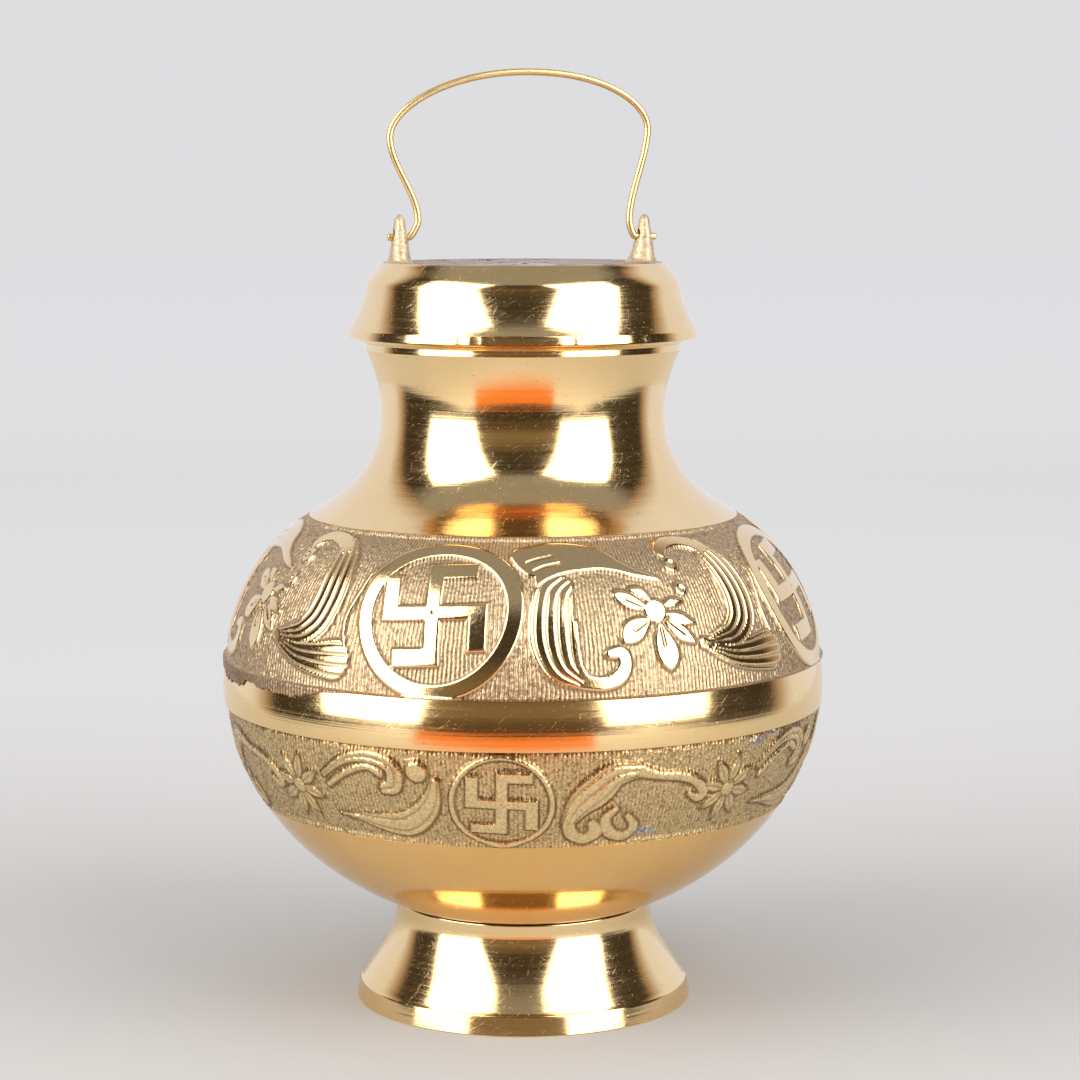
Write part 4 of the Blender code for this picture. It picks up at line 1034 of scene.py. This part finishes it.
lid_low, lid_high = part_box("lid_shell")
lid_ring_low, lid_ring_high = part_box("lid_thread_ring")
washer_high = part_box("sealing_washer")[1]
lid_bore = lid_ring_high.x + SEAM
lid_waist = spot(lid_bore + LID_WALL, lid_low.z + LID_WAIST_RISE)
rim_top = spot(lid_high.x - LID_RIM_TAPER, lid_low.z + LID_RIM_HEIGHT)
top_edge = spot(lid_waist.x - LID_TOP_INSET, lid_high.z - LID_TOP_DROP)
flank_rise = lid_waist.z - rim_top.z
crown_rise = top_edge.z - lid_waist.z
waist_run = spot(-LID_WAIST_LEAN, 1)
flank = interpolate_bezier(rim_top, rim_top + spot(-LID_FLANK_FLARE, flank_rise / 4),
                           lid_waist - waist_run * (flank_rise / 3), lid_waist, FLANK_POINTS)
lid_shoulder = interpolate_bezier(lid_waist, lid_waist + waist_run * (crown_rise / 3),
                                  top_edge + spot(LID_TOP_INSET / 3, -crown_rise / 3), top_edge,
                                  FLANK_POINTS)
crown_inside = washer_high.z + SEAM
washer_recess = washer_high.x + WASHER_PLAY
lid_step = lid_ring_high.z + SEAM
lid_corner = spot(top_edge.x - LID_TOP_DROP, lid_high.z)
lid_outline = [
    spot(0, crown_inside),
    spot(washer_recess, crown_inside),
    spot(washer_recess, lid_step),
    spot(lid_bore, lid_step),
    spot(lid_bore, lid_low.z),
    *rounded(spot(lid_bore, lid_low.z), spot(lid_high.x, lid_low.z), rim_top),
    *rounded(spot(lid_high.x, lid_low.z), rim_top, flank[1], RIM_ROUND),
    *flank[1:],
    *lid_shoulder[1:],
    lid_corner,
    lid_corner - spot(TOP_LEDGE, 0),
    lid_corner - spot(TOP_LEDGE, CROWN_POCKET),
    spot(0, lid_high.z - CROWN_POCKET),
]
lid = turn_on_lathe("lid_body", lid_outline)
for vertex in lid.data.vertices:
    on_rim = lid_low.z < vertex.co.z < rim_top.z + WALL_PLAY
    if on_rim and vertex.co.xy.length > lid_high.x - 2 * LID_RIM_TAPER:
        turn = math.degrees(math.atan2(vertex.co.x, -vertex.co.y))
        for nick_turn, nick_half in RIM_NICKS:
            nick = max(1.0 - abs(turn - nick_turn) / nick_half, 0.0) * NICK_DEPTH
            vertex.co.xy -= vertex.co.xy.normalized() * nick
lid.data.update()
lid.data.materials.append(polished_brass)
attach(lid, "lid")
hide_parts("lid_shell")

# Lid top
# The flat of the lid is left as cast: a lotus of long veined petals in low relief on a dull,
# pinkish ground. It is one casting with the lid.
LOTUS_PETALS = 12
LOTUS_HEART = 7.0
LOTUS_CURL = 0.012
HEART_GAP = 1.0
PETAL_HALF = 0.46
PETAL_START = 0.14
PETAL_MARGIN = 1.5
PETAL_STOP = 1.2
PETAL_SLOPE = 0.6
HEART_SLOPE = 0.5
RIM_SLOPE = 0.4
RIM_WIDTH = 1.0
VEIN_SPREAD = 0.42
VEIN_SLANT = 0.30
# The painted light and shade along the petal veins lags the veins' crests by this phase, so one flank of
# each vein is painted lighter and the other darker.
FLANK_SHADE_LAG = 1.2
TOP_RELIEF = 0.8
TOP_GRAIN = 0.02
TOP_LIFT = 0.05 * MM
TOP_RINGS = 120
TOP_SPOKES = 420
top_reach = lid_corner.x - TOP_LEDGE


def lotus_relief(x, y):
    """Relief height in mm, brightness and darkness over the lid's flat top; places in mm."""
    out = np.hypot(x, y)
    curl = np.arctan2(y, x) + LOTUS_CURL * out
    petal = (curl * LOTUS_PETALS / math.tau) % 1.0 - 0.5
    reach = top_reach / MM
    body = np.clip((out - LOTUS_HEART) / (reach - LOTUS_HEART - PETAL_MARGIN), 0, 1)
    swell = np.sin(math.pi * np.clip(PETAL_START + (1 - PETAL_START) * body, 0, 1))
    half = PETAL_HALF * np.sqrt(np.clip(swell, 0, 1))
    edge_gap = (np.abs(petal) - half) * out * math.tau / LOTUS_PETALS
    high = raised_share(edge_gap, PETAL_SLOPE) * (out > LOTUS_HEART) * (out < reach - PETAL_STOP)
    feather = math.tau * (np.abs(petal) * out * VEIN_SPREAD - VEIN_SLANT * out)
    vein = 0.5 + 0.5 * np.cos(feather)
    # Painted shade and highlight on the flanks of the veins, a little off their crests.
    flank_shade = 0.5 + 0.5 * np.cos(feather + FLANK_SHADE_LAG)
    heart = raised_share(out - LOTUS_HEART + HEART_GAP, HEART_SLOPE)
    rim = raised_share(reach - RIM_WIDTH - out, RIM_SLOPE)
    grain = rng.normal(0, 1, x.shape)
    high = np.maximum(high * (0.55 + 0.45 * vein), np.maximum(heart, rim))
    height = TOP_RELIEF * high + TOP_GRAIN * grain
    # The ground between the petals is painted dark; on the petals, painted shade and highlight fall on the
    # veins' flanks.
    dark = np.clip(1.0 - high * (0.3 + 0.8 * flank_shade) + 0.1 * grain, 0, 1)
    return height, high * 0.5, dark


bpy.ops.object.select_all(action="DESELECT")
bpy.ops.mesh.primitive_circle_add(vertices=TOP_SPOKES, radius=top_reach, fill_type="NOTHING",
                                  location=(0, 0, lid_high.z - CROWN_POCKET + TOP_LIFT))
lid_top = bpy.context.object
lid_top.name = "lid_top_relief"
bpy.ops.object.mode_set(mode="EDIT")
bpy.ops.mesh.select_all(action="SELECT")
bpy.ops.mesh.extrude_region_move(TRANSFORM_OT_translate={"value": (0, 0, CROWN_POCKET - TOP_LIFT)})
for ring in range(TOP_RINGS - 1):
    shrink = (TOP_RINGS - 1 - ring) / (TOP_RINGS - ring)
    bpy.ops.mesh.extrude_region_move()
    bpy.ops.transform.resize(value=(shrink, shrink, 1), center_override=(0, 0, lid_high.z))
bpy.ops.mesh.merge(type="CENTER")
bpy.ops.object.mode_set(mode="OBJECT")
bpy.ops.object.transform_apply(location=True, rotation=True, scale=True)
bpy.ops.object.mode_set(mode="EDIT")
bpy.ops.mesh.select_all(action="DESELECT")
bpy.ops.mesh.select_mode(type="VERT")
bpy.ops.mesh.select_non_manifold()
bpy.ops.mesh.edge_face_add()
bpy.ops.mesh.select_all(action="SELECT")
bpy.ops.mesh.normals_make_consistent(inside=False)
bpy.ops.object.mode_set(mode="OBJECT")
top_spots = np.zeros(len(lid_top.data.vertices) * 3)
lid_top.data.vertices.foreach_get("co", top_spots)
top_spots = top_spots.reshape(-1, 3)
top_height, top_bright, top_dark = lotus_relief(top_spots[:, 0] / MM, top_spots[:, 1] / MM)
on_top = top_spots[:, 2] > lid_high.z - 0.5 * CROWN_POCKET
top_spots[:, 2] += np.where(on_top, (top_height - TOP_RELIEF) * MM, 0.0)
lid_top.data.vertices.foreach_set("co", top_spots.ravel())
for layer, values in zip(RELIEF_LAYERS, (top_bright, top_dark, 0 * top_dark)):
    attribute = lid_top.data.attributes.new(layer, "FLOAT", "POINT")
    attribute.data.foreach_set("value", values.astype(np.float32))
lid_top.data.update()
bpy.ops.object.shade_smooth_by_angle(angle=RELIEF_SMOOTH)
lid_top_brass = chased_metal(
    "lid_top_brass", high_tone=(0.90, 0.76, 0.60), ground_tone=(0.82, 0.68, 0.56),
    dirt_and_shade_tone=(0.20, 0.14, 0.11), high_gloss=0.36, ground_gloss=0.46, skin=0.16 * MM, speckle=0.3)
lid_top.data.materials.append(lid_top_brass)
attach(lid_top, "lid")

# Lid thread ring
# A turned ring brazed into the lid's bore. Its coarse female thread runs on the neck's collar and
# draws the washer down on to it.
FEMALE_RING_WALL = 2.2 * MM
FEMALE_POINTS = 56
female_radius = lid_ring_high.x - FEMALE_RING_WALL
female_low = lid_ring_low.z + THREAD_MARGIN
female_high = lid_ring_high.z - THREAD_MARGIN
female_wall = [spot(female_radius, z) for z in np.linspace(female_high, female_low, FEMALE_POINTS)]
female_outline = [
    spot(female_radius, lid_ring_low.z),
    spot(lid_ring_high.x, lid_ring_low.z),
    spot(lid_ring_high.x, lid_ring_high.z),
    spot(female_radius, lid_ring_high.z),
    *female_wall,
]
female_ring = turn_on_lathe("lid_thread_collar", female_outline, RING_STEPS)
cut_thread(female_ring, female_radius, True, female_low, female_high)
female_ring.data.materials.append(polished_brass)
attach(female_ring, "lid")
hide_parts("lid_thread_ring")

# Lugs
# Two cast ears, hand filed to a blunt horn and riveted through the crown by a tenon. Each has a
# round hole for the wire, and its foot spreads over the lid's top in an uneven fillet.
HOLE_RADIUS = 1.75 * MM
HOLE_SIDES = 40
DRILL_LENGTH = 20 * MM
PIVOT_PLAY = 0.45 * MM
WIRE_RADIUS = 1.0 * MM
LUG_SINK = 0.8 * MM
LUG_TENON = 2.0 * MM
LUG_STEPS = 48
LUG_SMOOTH = math.radians(40)
# The fillet's first stations: share of the half base, and rise over the seat.
LUG_FILLET = ((1.0, 0.25 * MM), (0.72, 0.4 * MM), (0.62, 1.6 * MM))
LUG_ROOT = (0.585, 3.1 * MM)
LUG_TIP_SHARE = 0.285
LUG_TIP_DROP = 1.3 * MM
HORN_BULGE = 0.1 * MM
BLUNT_LEAN = (-0.2 * MM, 0.7 * MM)
BLUNT_FLAT = 0.5 * MM
FILLET_POINTS = 12
HORN_POINTS = 14
BLUNT_POINTS = 8
# Above its foot a lug is plumper, slims over a rise, and is lumpy; the rises are in mm.
LUG_FOOT = 0.1
LUG_PLUMP = 0.25
SLIM_RISE = 14.0
SPREAD_RISE = 9.0
LUG_SEED = 31
LUMPS = 6
LUMP_ACROSS = 0.06
LUMP_ALONG = 0.05
LUG_SKIN = 1000.0
LUG_PATCHES = 180.0
LUG_TONES = [(0.30, (0.40, 0.28, 0.17)), (0.48, (0.78, 0.62, 0.42)), (0.75, (0.93, 0.78, 0.52))]
LUG_STAIN = (0.62, 0.50, 0.40)
LUG_SKIN_DEPTH = 0.25 * MM

bail_low, bail_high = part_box("bail")
pivot_level = bail_low.z + WIRE_RADIUS
lug_brass, tree, shader, place = new_finish("lug_cast_brass")
skin = noise(tree, place, LUG_SKIN, detail=5.0, rough=0.65)
patch = noise(tree, place, LUG_PATCHES, detail=3.0, rough=0.6)
patched = ramp(tree, patch, [(0.45, 0.0), (0.7, 0.6)])
dress(tree, shader,
      mixed(tree, patched, ramp(tree, skin, LUG_TONES), LUG_STAIN),
      ramp(tree, skin, [(0.3, 0.62), (0.8, 0.42)]),
      bumped(tree, skin, 0.7, LUG_SKIN_DEPTH))

for lug_name, side, spread in (("left_lug", -1, 0.0), ("right_lug", 1, 0.55)):
    lug_low, lug_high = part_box(lug_name)
    lug_middle = (lug_low.x + lug_high.x) / 2
    lug_seat = lid_high.z - LUG_SINK
    half_base = (lug_high.x - lug_low.x) / 2
    half_width = (lug_high.y - lug_low.y) / 2
    root = spot(half_base * LUG_ROOT[0], lug_seat + LUG_ROOT[1])
    tip = spot(half_base * LUG_TIP_SHARE, lug_high.z - LUG_TIP_DROP)
    fillet_spots = [spot(half_base * share, lug_seat + rise) for share, rise in LUG_FILLET]
    fillet = interpolate_bezier(*fillet_spots, root, FILLET_POINTS)
    horn_run = tip - root
    horn_start = root + horn_run * 0.35 + spot(HORN_BULGE, 0)
    horn = interpolate_bezier(root, horn_start, tip - horn_run * 0.3, tip, HORN_POINTS)
    crest = spot(0, lug_high.z)
    blunt_start = tip + spot(*BLUNT_LEAN)
    blunt = interpolate_bezier(tip, blunt_start, crest + spot(BLUNT_FLAT, 0), crest, BLUNT_POINTS)
    lug_outline = [
        spot(0, lug_low.z),
        spot(LUG_TENON, lug_low.z),
        spot(LUG_TENON, lug_seat),
        spot(half_base, lug_seat),
        *fillet,
        *horn[1:],
        *blunt[1:],
    ]
    lug = turn_on_lathe(f"{lug_name}_casting", lug_outline, LUG_STEPS)
    phases = np.random.default_rng(LUG_SEED + side).uniform(0, math.tau, LUMPS)
    for vertex in lug.data.vertices:
        rise = (vertex.co.z - lug_seat) / MM
        if rise > LUG_FOOT:
            slim = 1.0 + (half_width / half_base - 1.0) * max(1.0 - rise / SLIM_RISE, 0.0) + LUG_PLUMP
            x = vertex.co.x / MM
            y = vertex.co.y / MM
            waves = [math.sin(x * (1.1 + 0.4 * k) + y * (0.9 + 0.3 * k) + rise * (0.8 + 0.35 * k) + phase)
                     for k, phase in enumerate(phases)]
            lumps = sum(waves) / LUMPS
            vertex.co.y *= slim * (1.0 + LUMP_ALONG * lumps)
            vertex.co.x *= 1.0 + LUMP_ACROSS * lumps
            if vertex.co.x * side < 0:
                vertex.co.x *= 1.0 + spread * max(1.0 - rise / SPREAD_RISE, 0.0)
        vertex.co.x += lug_middle
    bpy.ops.object.select_all(action="DESELECT")
    bpy.ops.mesh.primitive_cylinder_add(vertices=HOLE_SIDES, radius=HOLE_RADIUS, depth=DRILL_LENGTH,
                                        location=(lug_middle, 0, pivot_level + PIVOT_PLAY),
                                        rotation=(0, math.pi / 2, 0))
    drill = bpy.context.object
    bore = lug.modifiers.new("wire_hole", "BOOLEAN")
    bore.operation = "DIFFERENCE"
    bore.solver = "EXACT"
    bore.object = drill
    bpy.context.view_layer.objects.active = lug
    bpy.ops.object.modifier_apply(modifier="wire_hole")
    bpy.data.objects.remove(drill, do_unlink=True)
    bpy.ops.object.select_all(action="DESELECT")
    lug.select_set(True)
    bpy.ops.object.shade_smooth_by_angle(angle=LUG_SMOOTH)
    lug.data.materials.clear()
    lug.data.materials.append(lug_brass)
    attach(lug, "lid")
    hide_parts(lug_name)

# Bail
# One length of drawn brass wire, bent by hand into an uneven arch. Its hooked ends are sprung
# outwards through the lugs' holes and stick out a little, with filed round ends.
LUG_HALF = 2.15 * MM
HOOK_INSET = 2.9 * MM
HOOK_RISE = 4.4 * MM
HOOK_ROUND = 2.6 * MM
RIGHT_HOOK_SHIFT = 0.8 * MM
LEFT_REACH = 36.4 * MM
LEFT_SHOULDER = 26.7 * MM
LEFT_BEND = 7.6 * MM
RIGHT_REACH = 34.7 * MM
RIGHT_SHOULDER = 29.3 * MM
RIGHT_BEND = 6.4 * MM
CROWN_OFFSET = 1.6 * MM
CROWN_HANDLE = 22.5 * MM
CROWN_SAG = 1.4 * MM
LEG_HANDLE = 7.4 * MM
HOOK_POINTS = 14
LEG_POINTS = 24
ARCH_POINTS = 36
STUB_ROUND = 0.55 * MM
STUB_POINTS = 6
STUB_FLAT = 0.02
BEVEL_STEPS = 8
WIRE_SMOOTH = math.radians(50)
DRAW_LINES = (150, 3200, 150)
DRAW_DEPTH = 0.01 * MM
HANDLING = 90.0
WIRE_DEEP = (0.90, 0.68, 0.33)
WIRE_BRIGHT = (0.97, 0.77, 0.42)

lug_offset = abs(lug_middle)
leg = lug_offset - LUG_HALF - HOOK_INSET
elbow = leg + HOOK_ROUND
arch_top = bail_high.z - WIRE_RADIUS - CROWN_SAG - pivot_level
upward = spot(0, 1)
along = spot(1, 0)
left_elbow = spot(-elbow, 0)
left_hook = spot(-leg, HOOK_RISE)
left_shoulder = spot(-LEFT_REACH, LEFT_SHOULDER)
crown = spot(CROWN_OFFSET, arch_top)
right_shoulder = spot(RIGHT_REACH, RIGHT_SHOULDER)
right_hook = spot(leg + RIGHT_HOOK_SHIFT, HOOK_RISE)
right_elbow = spot(elbow, 0)
hook_rise = upward * (HOOK_RISE / 5)
elbow_run = along * (HOOK_ROUND / 3)
leg_run = upward * LEG_HANDLE
crown_run = along * CROWN_HANDLE
spans = [
    (left_elbow, left_elbow + elbow_run, left_hook - hook_rise, left_hook, HOOK_POINTS),
    (left_hook, left_hook + leg_run, left_shoulder - leg_run, left_shoulder, LEG_POINTS),
    (left_shoulder, left_shoulder + upward * LEFT_BEND, crown - crown_run, crown, ARCH_POINTS),
    (crown, crown + crown_run, right_shoulder + upward * RIGHT_BEND, right_shoulder, ARCH_POINTS),
    (right_shoulder, right_shoulder - leg_run, right_hook + leg_run, right_hook, LEG_POINTS),
    (right_hook, right_hook - hook_rise, right_elbow - elbow_run, right_elbow, HOOK_POINTS),
]
route = [left_elbow]
for start, start_handle, end_handle, end, count in spans:
    route += interpolate_bezier(start, start_handle, end_handle, end, count)[1:]
stub_round = [(bail_high.x - fall, math.sqrt(max(1 - (1 - fall / STUB_ROUND) ** 2, STUB_FLAT)))
              for fall in np.linspace(0.0, STUB_ROUND, STUB_POINTS)]
stations = [(spot(-reach, 0), share) for reach, share in stub_round]
stations += [(here, 1.0) for here in route]
stations += [(spot(reach, 0), share) for reach, share in reversed(stub_round)]
bpy.ops.object.select_all(action="DESELECT")
bpy.ops.curve.primitive_bezier_curve_add()
bail = bpy.context.object
bail.name = "wire_bail"
wire = bail.data
wire.splines.clear()
wire.dimensions = "3D"
wire.fill_mode = "FULL"
wire.bevel_depth = WIRE_RADIUS
wire.bevel_resolution = BEVEL_STEPS
wire.use_fill_caps = True
thread = wire.splines.new("POLY")
thread.points.add(len(stations) - 1)
for knot, (here, share) in zip(thread.points, stations):
    knot.co = (here.x, 0.0, here.z + pivot_level, 1.0)
    knot.radius = share
bpy.ops.object.convert(target="MESH")
bail = bpy.context.object
finish_mesh(WIRE_SMOOTH)
drawn_wire, tree, shader, place = new_finish("drawn_wire_brass")
draw_lines = noise(tree, stretched(tree, place, DRAW_LINES), 1.0, detail=3.0, rough=0.6)
handled = noise(tree, place, HANDLING, detail=4.0, rough=0.6)
dress(tree, shader,
      ramp(tree, handled, [(0.3, WIRE_DEEP), (0.7, WIRE_BRIGHT)]),
      ramp(tree, draw_lines, [(0.25, 0.30), (0.8, 0.40)]),
      bumped(tree, draw_lines, 0.1, DRAW_DEPTH))
bail.data.materials.clear()
bail.data.materials.append(drawn_wire)
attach(bail, "bail")
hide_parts("bail")

# Studio
# A plain pale floor under soft light: two large softboxes to the left and right of the camera. The
# brass mirrors them, the lit table with a warm card, a pale wall behind and a dim room in front.
TABLE_SIDE = 0.53
TABLE_FRONT = 0.52
TABLE_BACK = 1.30
FLOOR_REACH = 9.0
FLOOR_SIDES = 96
FLOOR_DROP = 0.05 * MM
# The floor's tones are painted light and shade. They run from its near end, before the table, to its far
# end: dark far in front, a painted band of light across the table's front edge, darker again up to the pot
# and paler behind it. With distance from the pot they fade into the far tone all round.
FLOOR_NEAR = 1.3
FLOOR_FAR = -4.0
FADE_START = 1.5
FADE_END = 4.0
FAR_TONE = (0.86, 0.855, 0.875)
FLOOR_PAINTED_LIGHT = [
    (0.0, (0.22, 0.215, 0.21)), (0.09, (0.25, 0.245, 0.24)), (0.135, (0.42, 0.41, 0.40)),
    (0.151, (0.64, 0.62, 0.60)), (0.219, (0.46, 0.45, 0.44)), (0.244, (0.43, 0.425, 0.425)),
    (0.338, (0.60, 0.595, 0.60)), (0.431, (0.705, 0.70, 0.71)), (0.618, (0.80, 0.795, 0.81)),
    (1.0, FAR_TONE)]
heading = math.radians(VIEW_TURN)
to_right = Vector((math.cos(heading), math.sin(heading), 0.0))
to_front = Vector((math.sin(heading), -math.cos(heading), 0.0))


def reach_along(tree, place, direction):
    """How far a place lies along a direction."""
    node = add_node(tree, "ShaderNodeVectorMath", operation="DOT_PRODUCT")
    node.inputs[1].default_value = direction
    tree.links.new(place, node.inputs[0])
    return node.outputs["Value"]


def share_between(tree, value, low, high):
    """Nought at the low end of a range and one at its high end."""
    node = add_node(tree, "ShaderNodeMapRange")
    node.inputs["From Min"].default_value = low
    node.inputs["From Max"].default_value = high
    tree.links.new(value, node.inputs["Value"])
    return node.outputs["Result"]


def matte(shader):
    """Take all gloss off a finish."""
    shader.inputs["Roughness"].default_value = 1.0
    shader.inputs["Specular IOR Level"].default_value = 0.0


floor_paint, tree, shader, place = new_finish("pale_floor", metallic=0.0)
depth = share_between(tree, reach_along(tree, place, to_front), FLOOR_NEAR, FLOOR_FAR)
distance = add_node(tree, "ShaderNodeVectorMath", operation="LENGTH")
tree.links.new(place, distance.inputs[0])
fade = share_between(tree, distance.outputs["Value"], FADE_START, FADE_END)
# The floor and the table carry painted light and shade by depth.
dress(tree, shader, mixed(tree, fade, ramp(tree, depth, FLOOR_PAINTED_LIGHT), FAR_TONE))
matte(shader)

bpy.ops.object.select_all(action="DESELECT")
bpy.ops.mesh.primitive_circle_add(vertices=FLOOR_SIDES, radius=FLOOR_REACH, fill_type="NGON",
                                  location=(0, 0, -FLOOR_DROP))
floor = bpy.context.object
floor.name = "studio_floor"
bpy.ops.object.transform_apply(location=True)
floor.data.materials.append(floor_paint)
floor.visible_glossy = False

bpy.ops.object.select_all(action="DESELECT")
bpy.ops.mesh.primitive_plane_add(size=1.0, location=(0, 0, 0))
table = bpy.context.object
table.name = "lit_table"
for vertex in table.data.vertices:
    across = 2 * TABLE_SIDE * vertex.co.x
    ahead = TABLE_FRONT if vertex.co.y < 0 else -TABLE_BACK
    vertex.co = to_right * across + to_front * ahead
table.data.materials.append(floor_paint)

CARD_NEAR = 0.22
CARD_FAR = 0.515
CARD_LEFT = math.tan(math.radians(37))
CARD_RIGHT = math.tan(math.radians(24))
CARD_LIFT = 0.1 * MM
CARD_TONES = [(0.22, (0.54, 0.50, 0.46)), (0.34, (0.60, 0.175, 0.03))]
warm_card, tree, shader, place = new_finish("warm_card", metallic=0.0)
dress(tree, shader, ramp(tree, reach_along(tree, place, to_front), CARD_TONES))
matte(shader)
bpy.ops.object.select_all(action="DESELECT")
bpy.ops.mesh.primitive_plane_add(size=1.0, location=(0, 0, 0))
card = bpy.context.object
card.name = "warm_reflector_card"
for vertex in card.data.vertices:
    ahead = CARD_FAR if vertex.co.y < 0 else CARD_NEAR
    across = ahead * (CARD_RIGHT if vertex.co.x > 0 else -CARD_LEFT)
    vertex.co = to_right * across + to_front * ahead + Vector((0, 0, CARD_LIFT))
card.data.materials.append(warm_card)
card.visible_camera = False
card.visible_diffuse = False
card.visible_shadow = False

SOFTBOX_WIDTH = 0.95
SOFTBOX_HEIGHT = 1.35
SOFTBOX_DISTANCE = 1.15
SOFTBOX_RISE = 25.0
SOFTBOX_POWER = 14.5
SOFTBOX_TONE = (1.0, 0.985, 0.96)
SOFTBOX_AIM = Vector((0, 0, 0.11))
SOFTBOX_TURNS = (("left_softbox", -57.0), ("right_softbox", 50.0))
for softbox_name, side_turn in SOFTBOX_TURNS:
    light = bpy.data.lights.new(softbox_name, "AREA")
    light.shape = "RECTANGLE"
    light.size = SOFTBOX_WIDTH
    light.size_y = SOFTBOX_HEIGHT
    light.energy = SOFTBOX_POWER
    light.color = SOFTBOX_TONE
    softbox = bpy.data.objects.new(softbox_name, light)
    bpy.context.collection.objects.link(softbox)
    turn = math.radians(VIEW_TURN + side_turn)
    lift = math.radians(SOFTBOX_RISE)
    direction = Vector((math.sin(turn) * math.cos(lift), -math.cos(turn) * math.cos(lift), math.sin(lift)))
    softbox.location = SOFTBOX_AIM + direction * SOFTBOX_DISTANCE
    softbox.rotation_euler = direction.to_track_quat("Z", "Y").to_euler()

# Tones of the mirrored room by how far a look runs to the front, and upwards where it faces front.
ROOM_SIDES = [(0.235, (0.83, 0.86, 0.99)), (0.31, (0.46, 0.34, 0.24)), (0.36, (0.045, 0.033, 0.019))]
ROOM_FRONT = [(0.42, (0.04, 0.03, 0.018)), (0.50, (0.14, 0.10, 0.058)), (0.56, (0.25, 0.185, 0.105)),
              (0.72, (0.05, 0.038, 0.022))]
FRONT_SHARE = [(0.64, 0.0), (0.84, 1.0)]
ROOM_CEILING = [(0.86, 0.0), (0.92, 0.33)]
ROOM_FILL = (0.85, 0.85, 0.85)
BACKDROP = (0.73, 0.725, 0.74)
world = bpy.data.worlds.new("studio_room")
bpy.context.scene.world = world
world.use_nodes = True
tree = world.node_tree
backdrop = tree.nodes["Background"]
look = add_node(tree, "ShaderNodeTexCoord").outputs["Generated"]
facing = share_between(tree, reach_along(tree, look, to_front), -1.0, 1.0)
rising = share_between(tree, reach_along(tree, look, Vector((0, 0, 1))), -1.0, 1.0)
sides = ramp(tree, facing, ROOM_SIDES)
walls = mixed(tree, ramp(tree, facing, FRONT_SHARE), sides, ramp(tree, rising, ROOM_FRONT))
mirrored = lighter(tree, walls, ramp(tree, rising, ROOM_CEILING))
ray = add_node(tree, "ShaderNodeLightPath")
room = mixed(tree, ray.outputs["Is Glossy Ray"], ROOM_FILL, mirrored)
tree.links.new(mixed(tree, ray.outputs["Is Camera Ray"], room, BACKDROP), backdrop.inputs["Color"])

# Camera
# It stands where the photograph was taken from: a little left of the lugs' line, slightly above
# the lid, with a long lens.
CAMERA_BACK = 0.7917
CAMERA_SIDE = 0.00465
CAMERA_HEIGHT = 0.2244
CAMERA_PITCH = math.radians(6.99)
CAMERA_LENS = 96.33
CAMERA_SENSOR = 36.0
camera_data = bpy.data.cameras.new("photo_camera")
camera_data.lens = CAMERA_LENS
camera_data.sensor_width = CAMERA_SENSOR
camera = bpy.data.objects.new("photo_camera", camera_data)
bpy.context.collection.objects.link(camera)
camera.location = (CAMERA_SIDE * math.cos(heading) + CAMERA_BACK * math.sin(heading),
                   CAMERA_SIDE * math.sin(heading) - CAMERA_BACK * math.cos(heading),
                   CAMERA_HEIGHT)
camera.rotation_euler = (math.pi / 2 - CAMERA_PITCH, 0.0, heading)
bpy.context.scene.camera = camera
bpy.context.scene.view_settings.view_transform = "Standard"
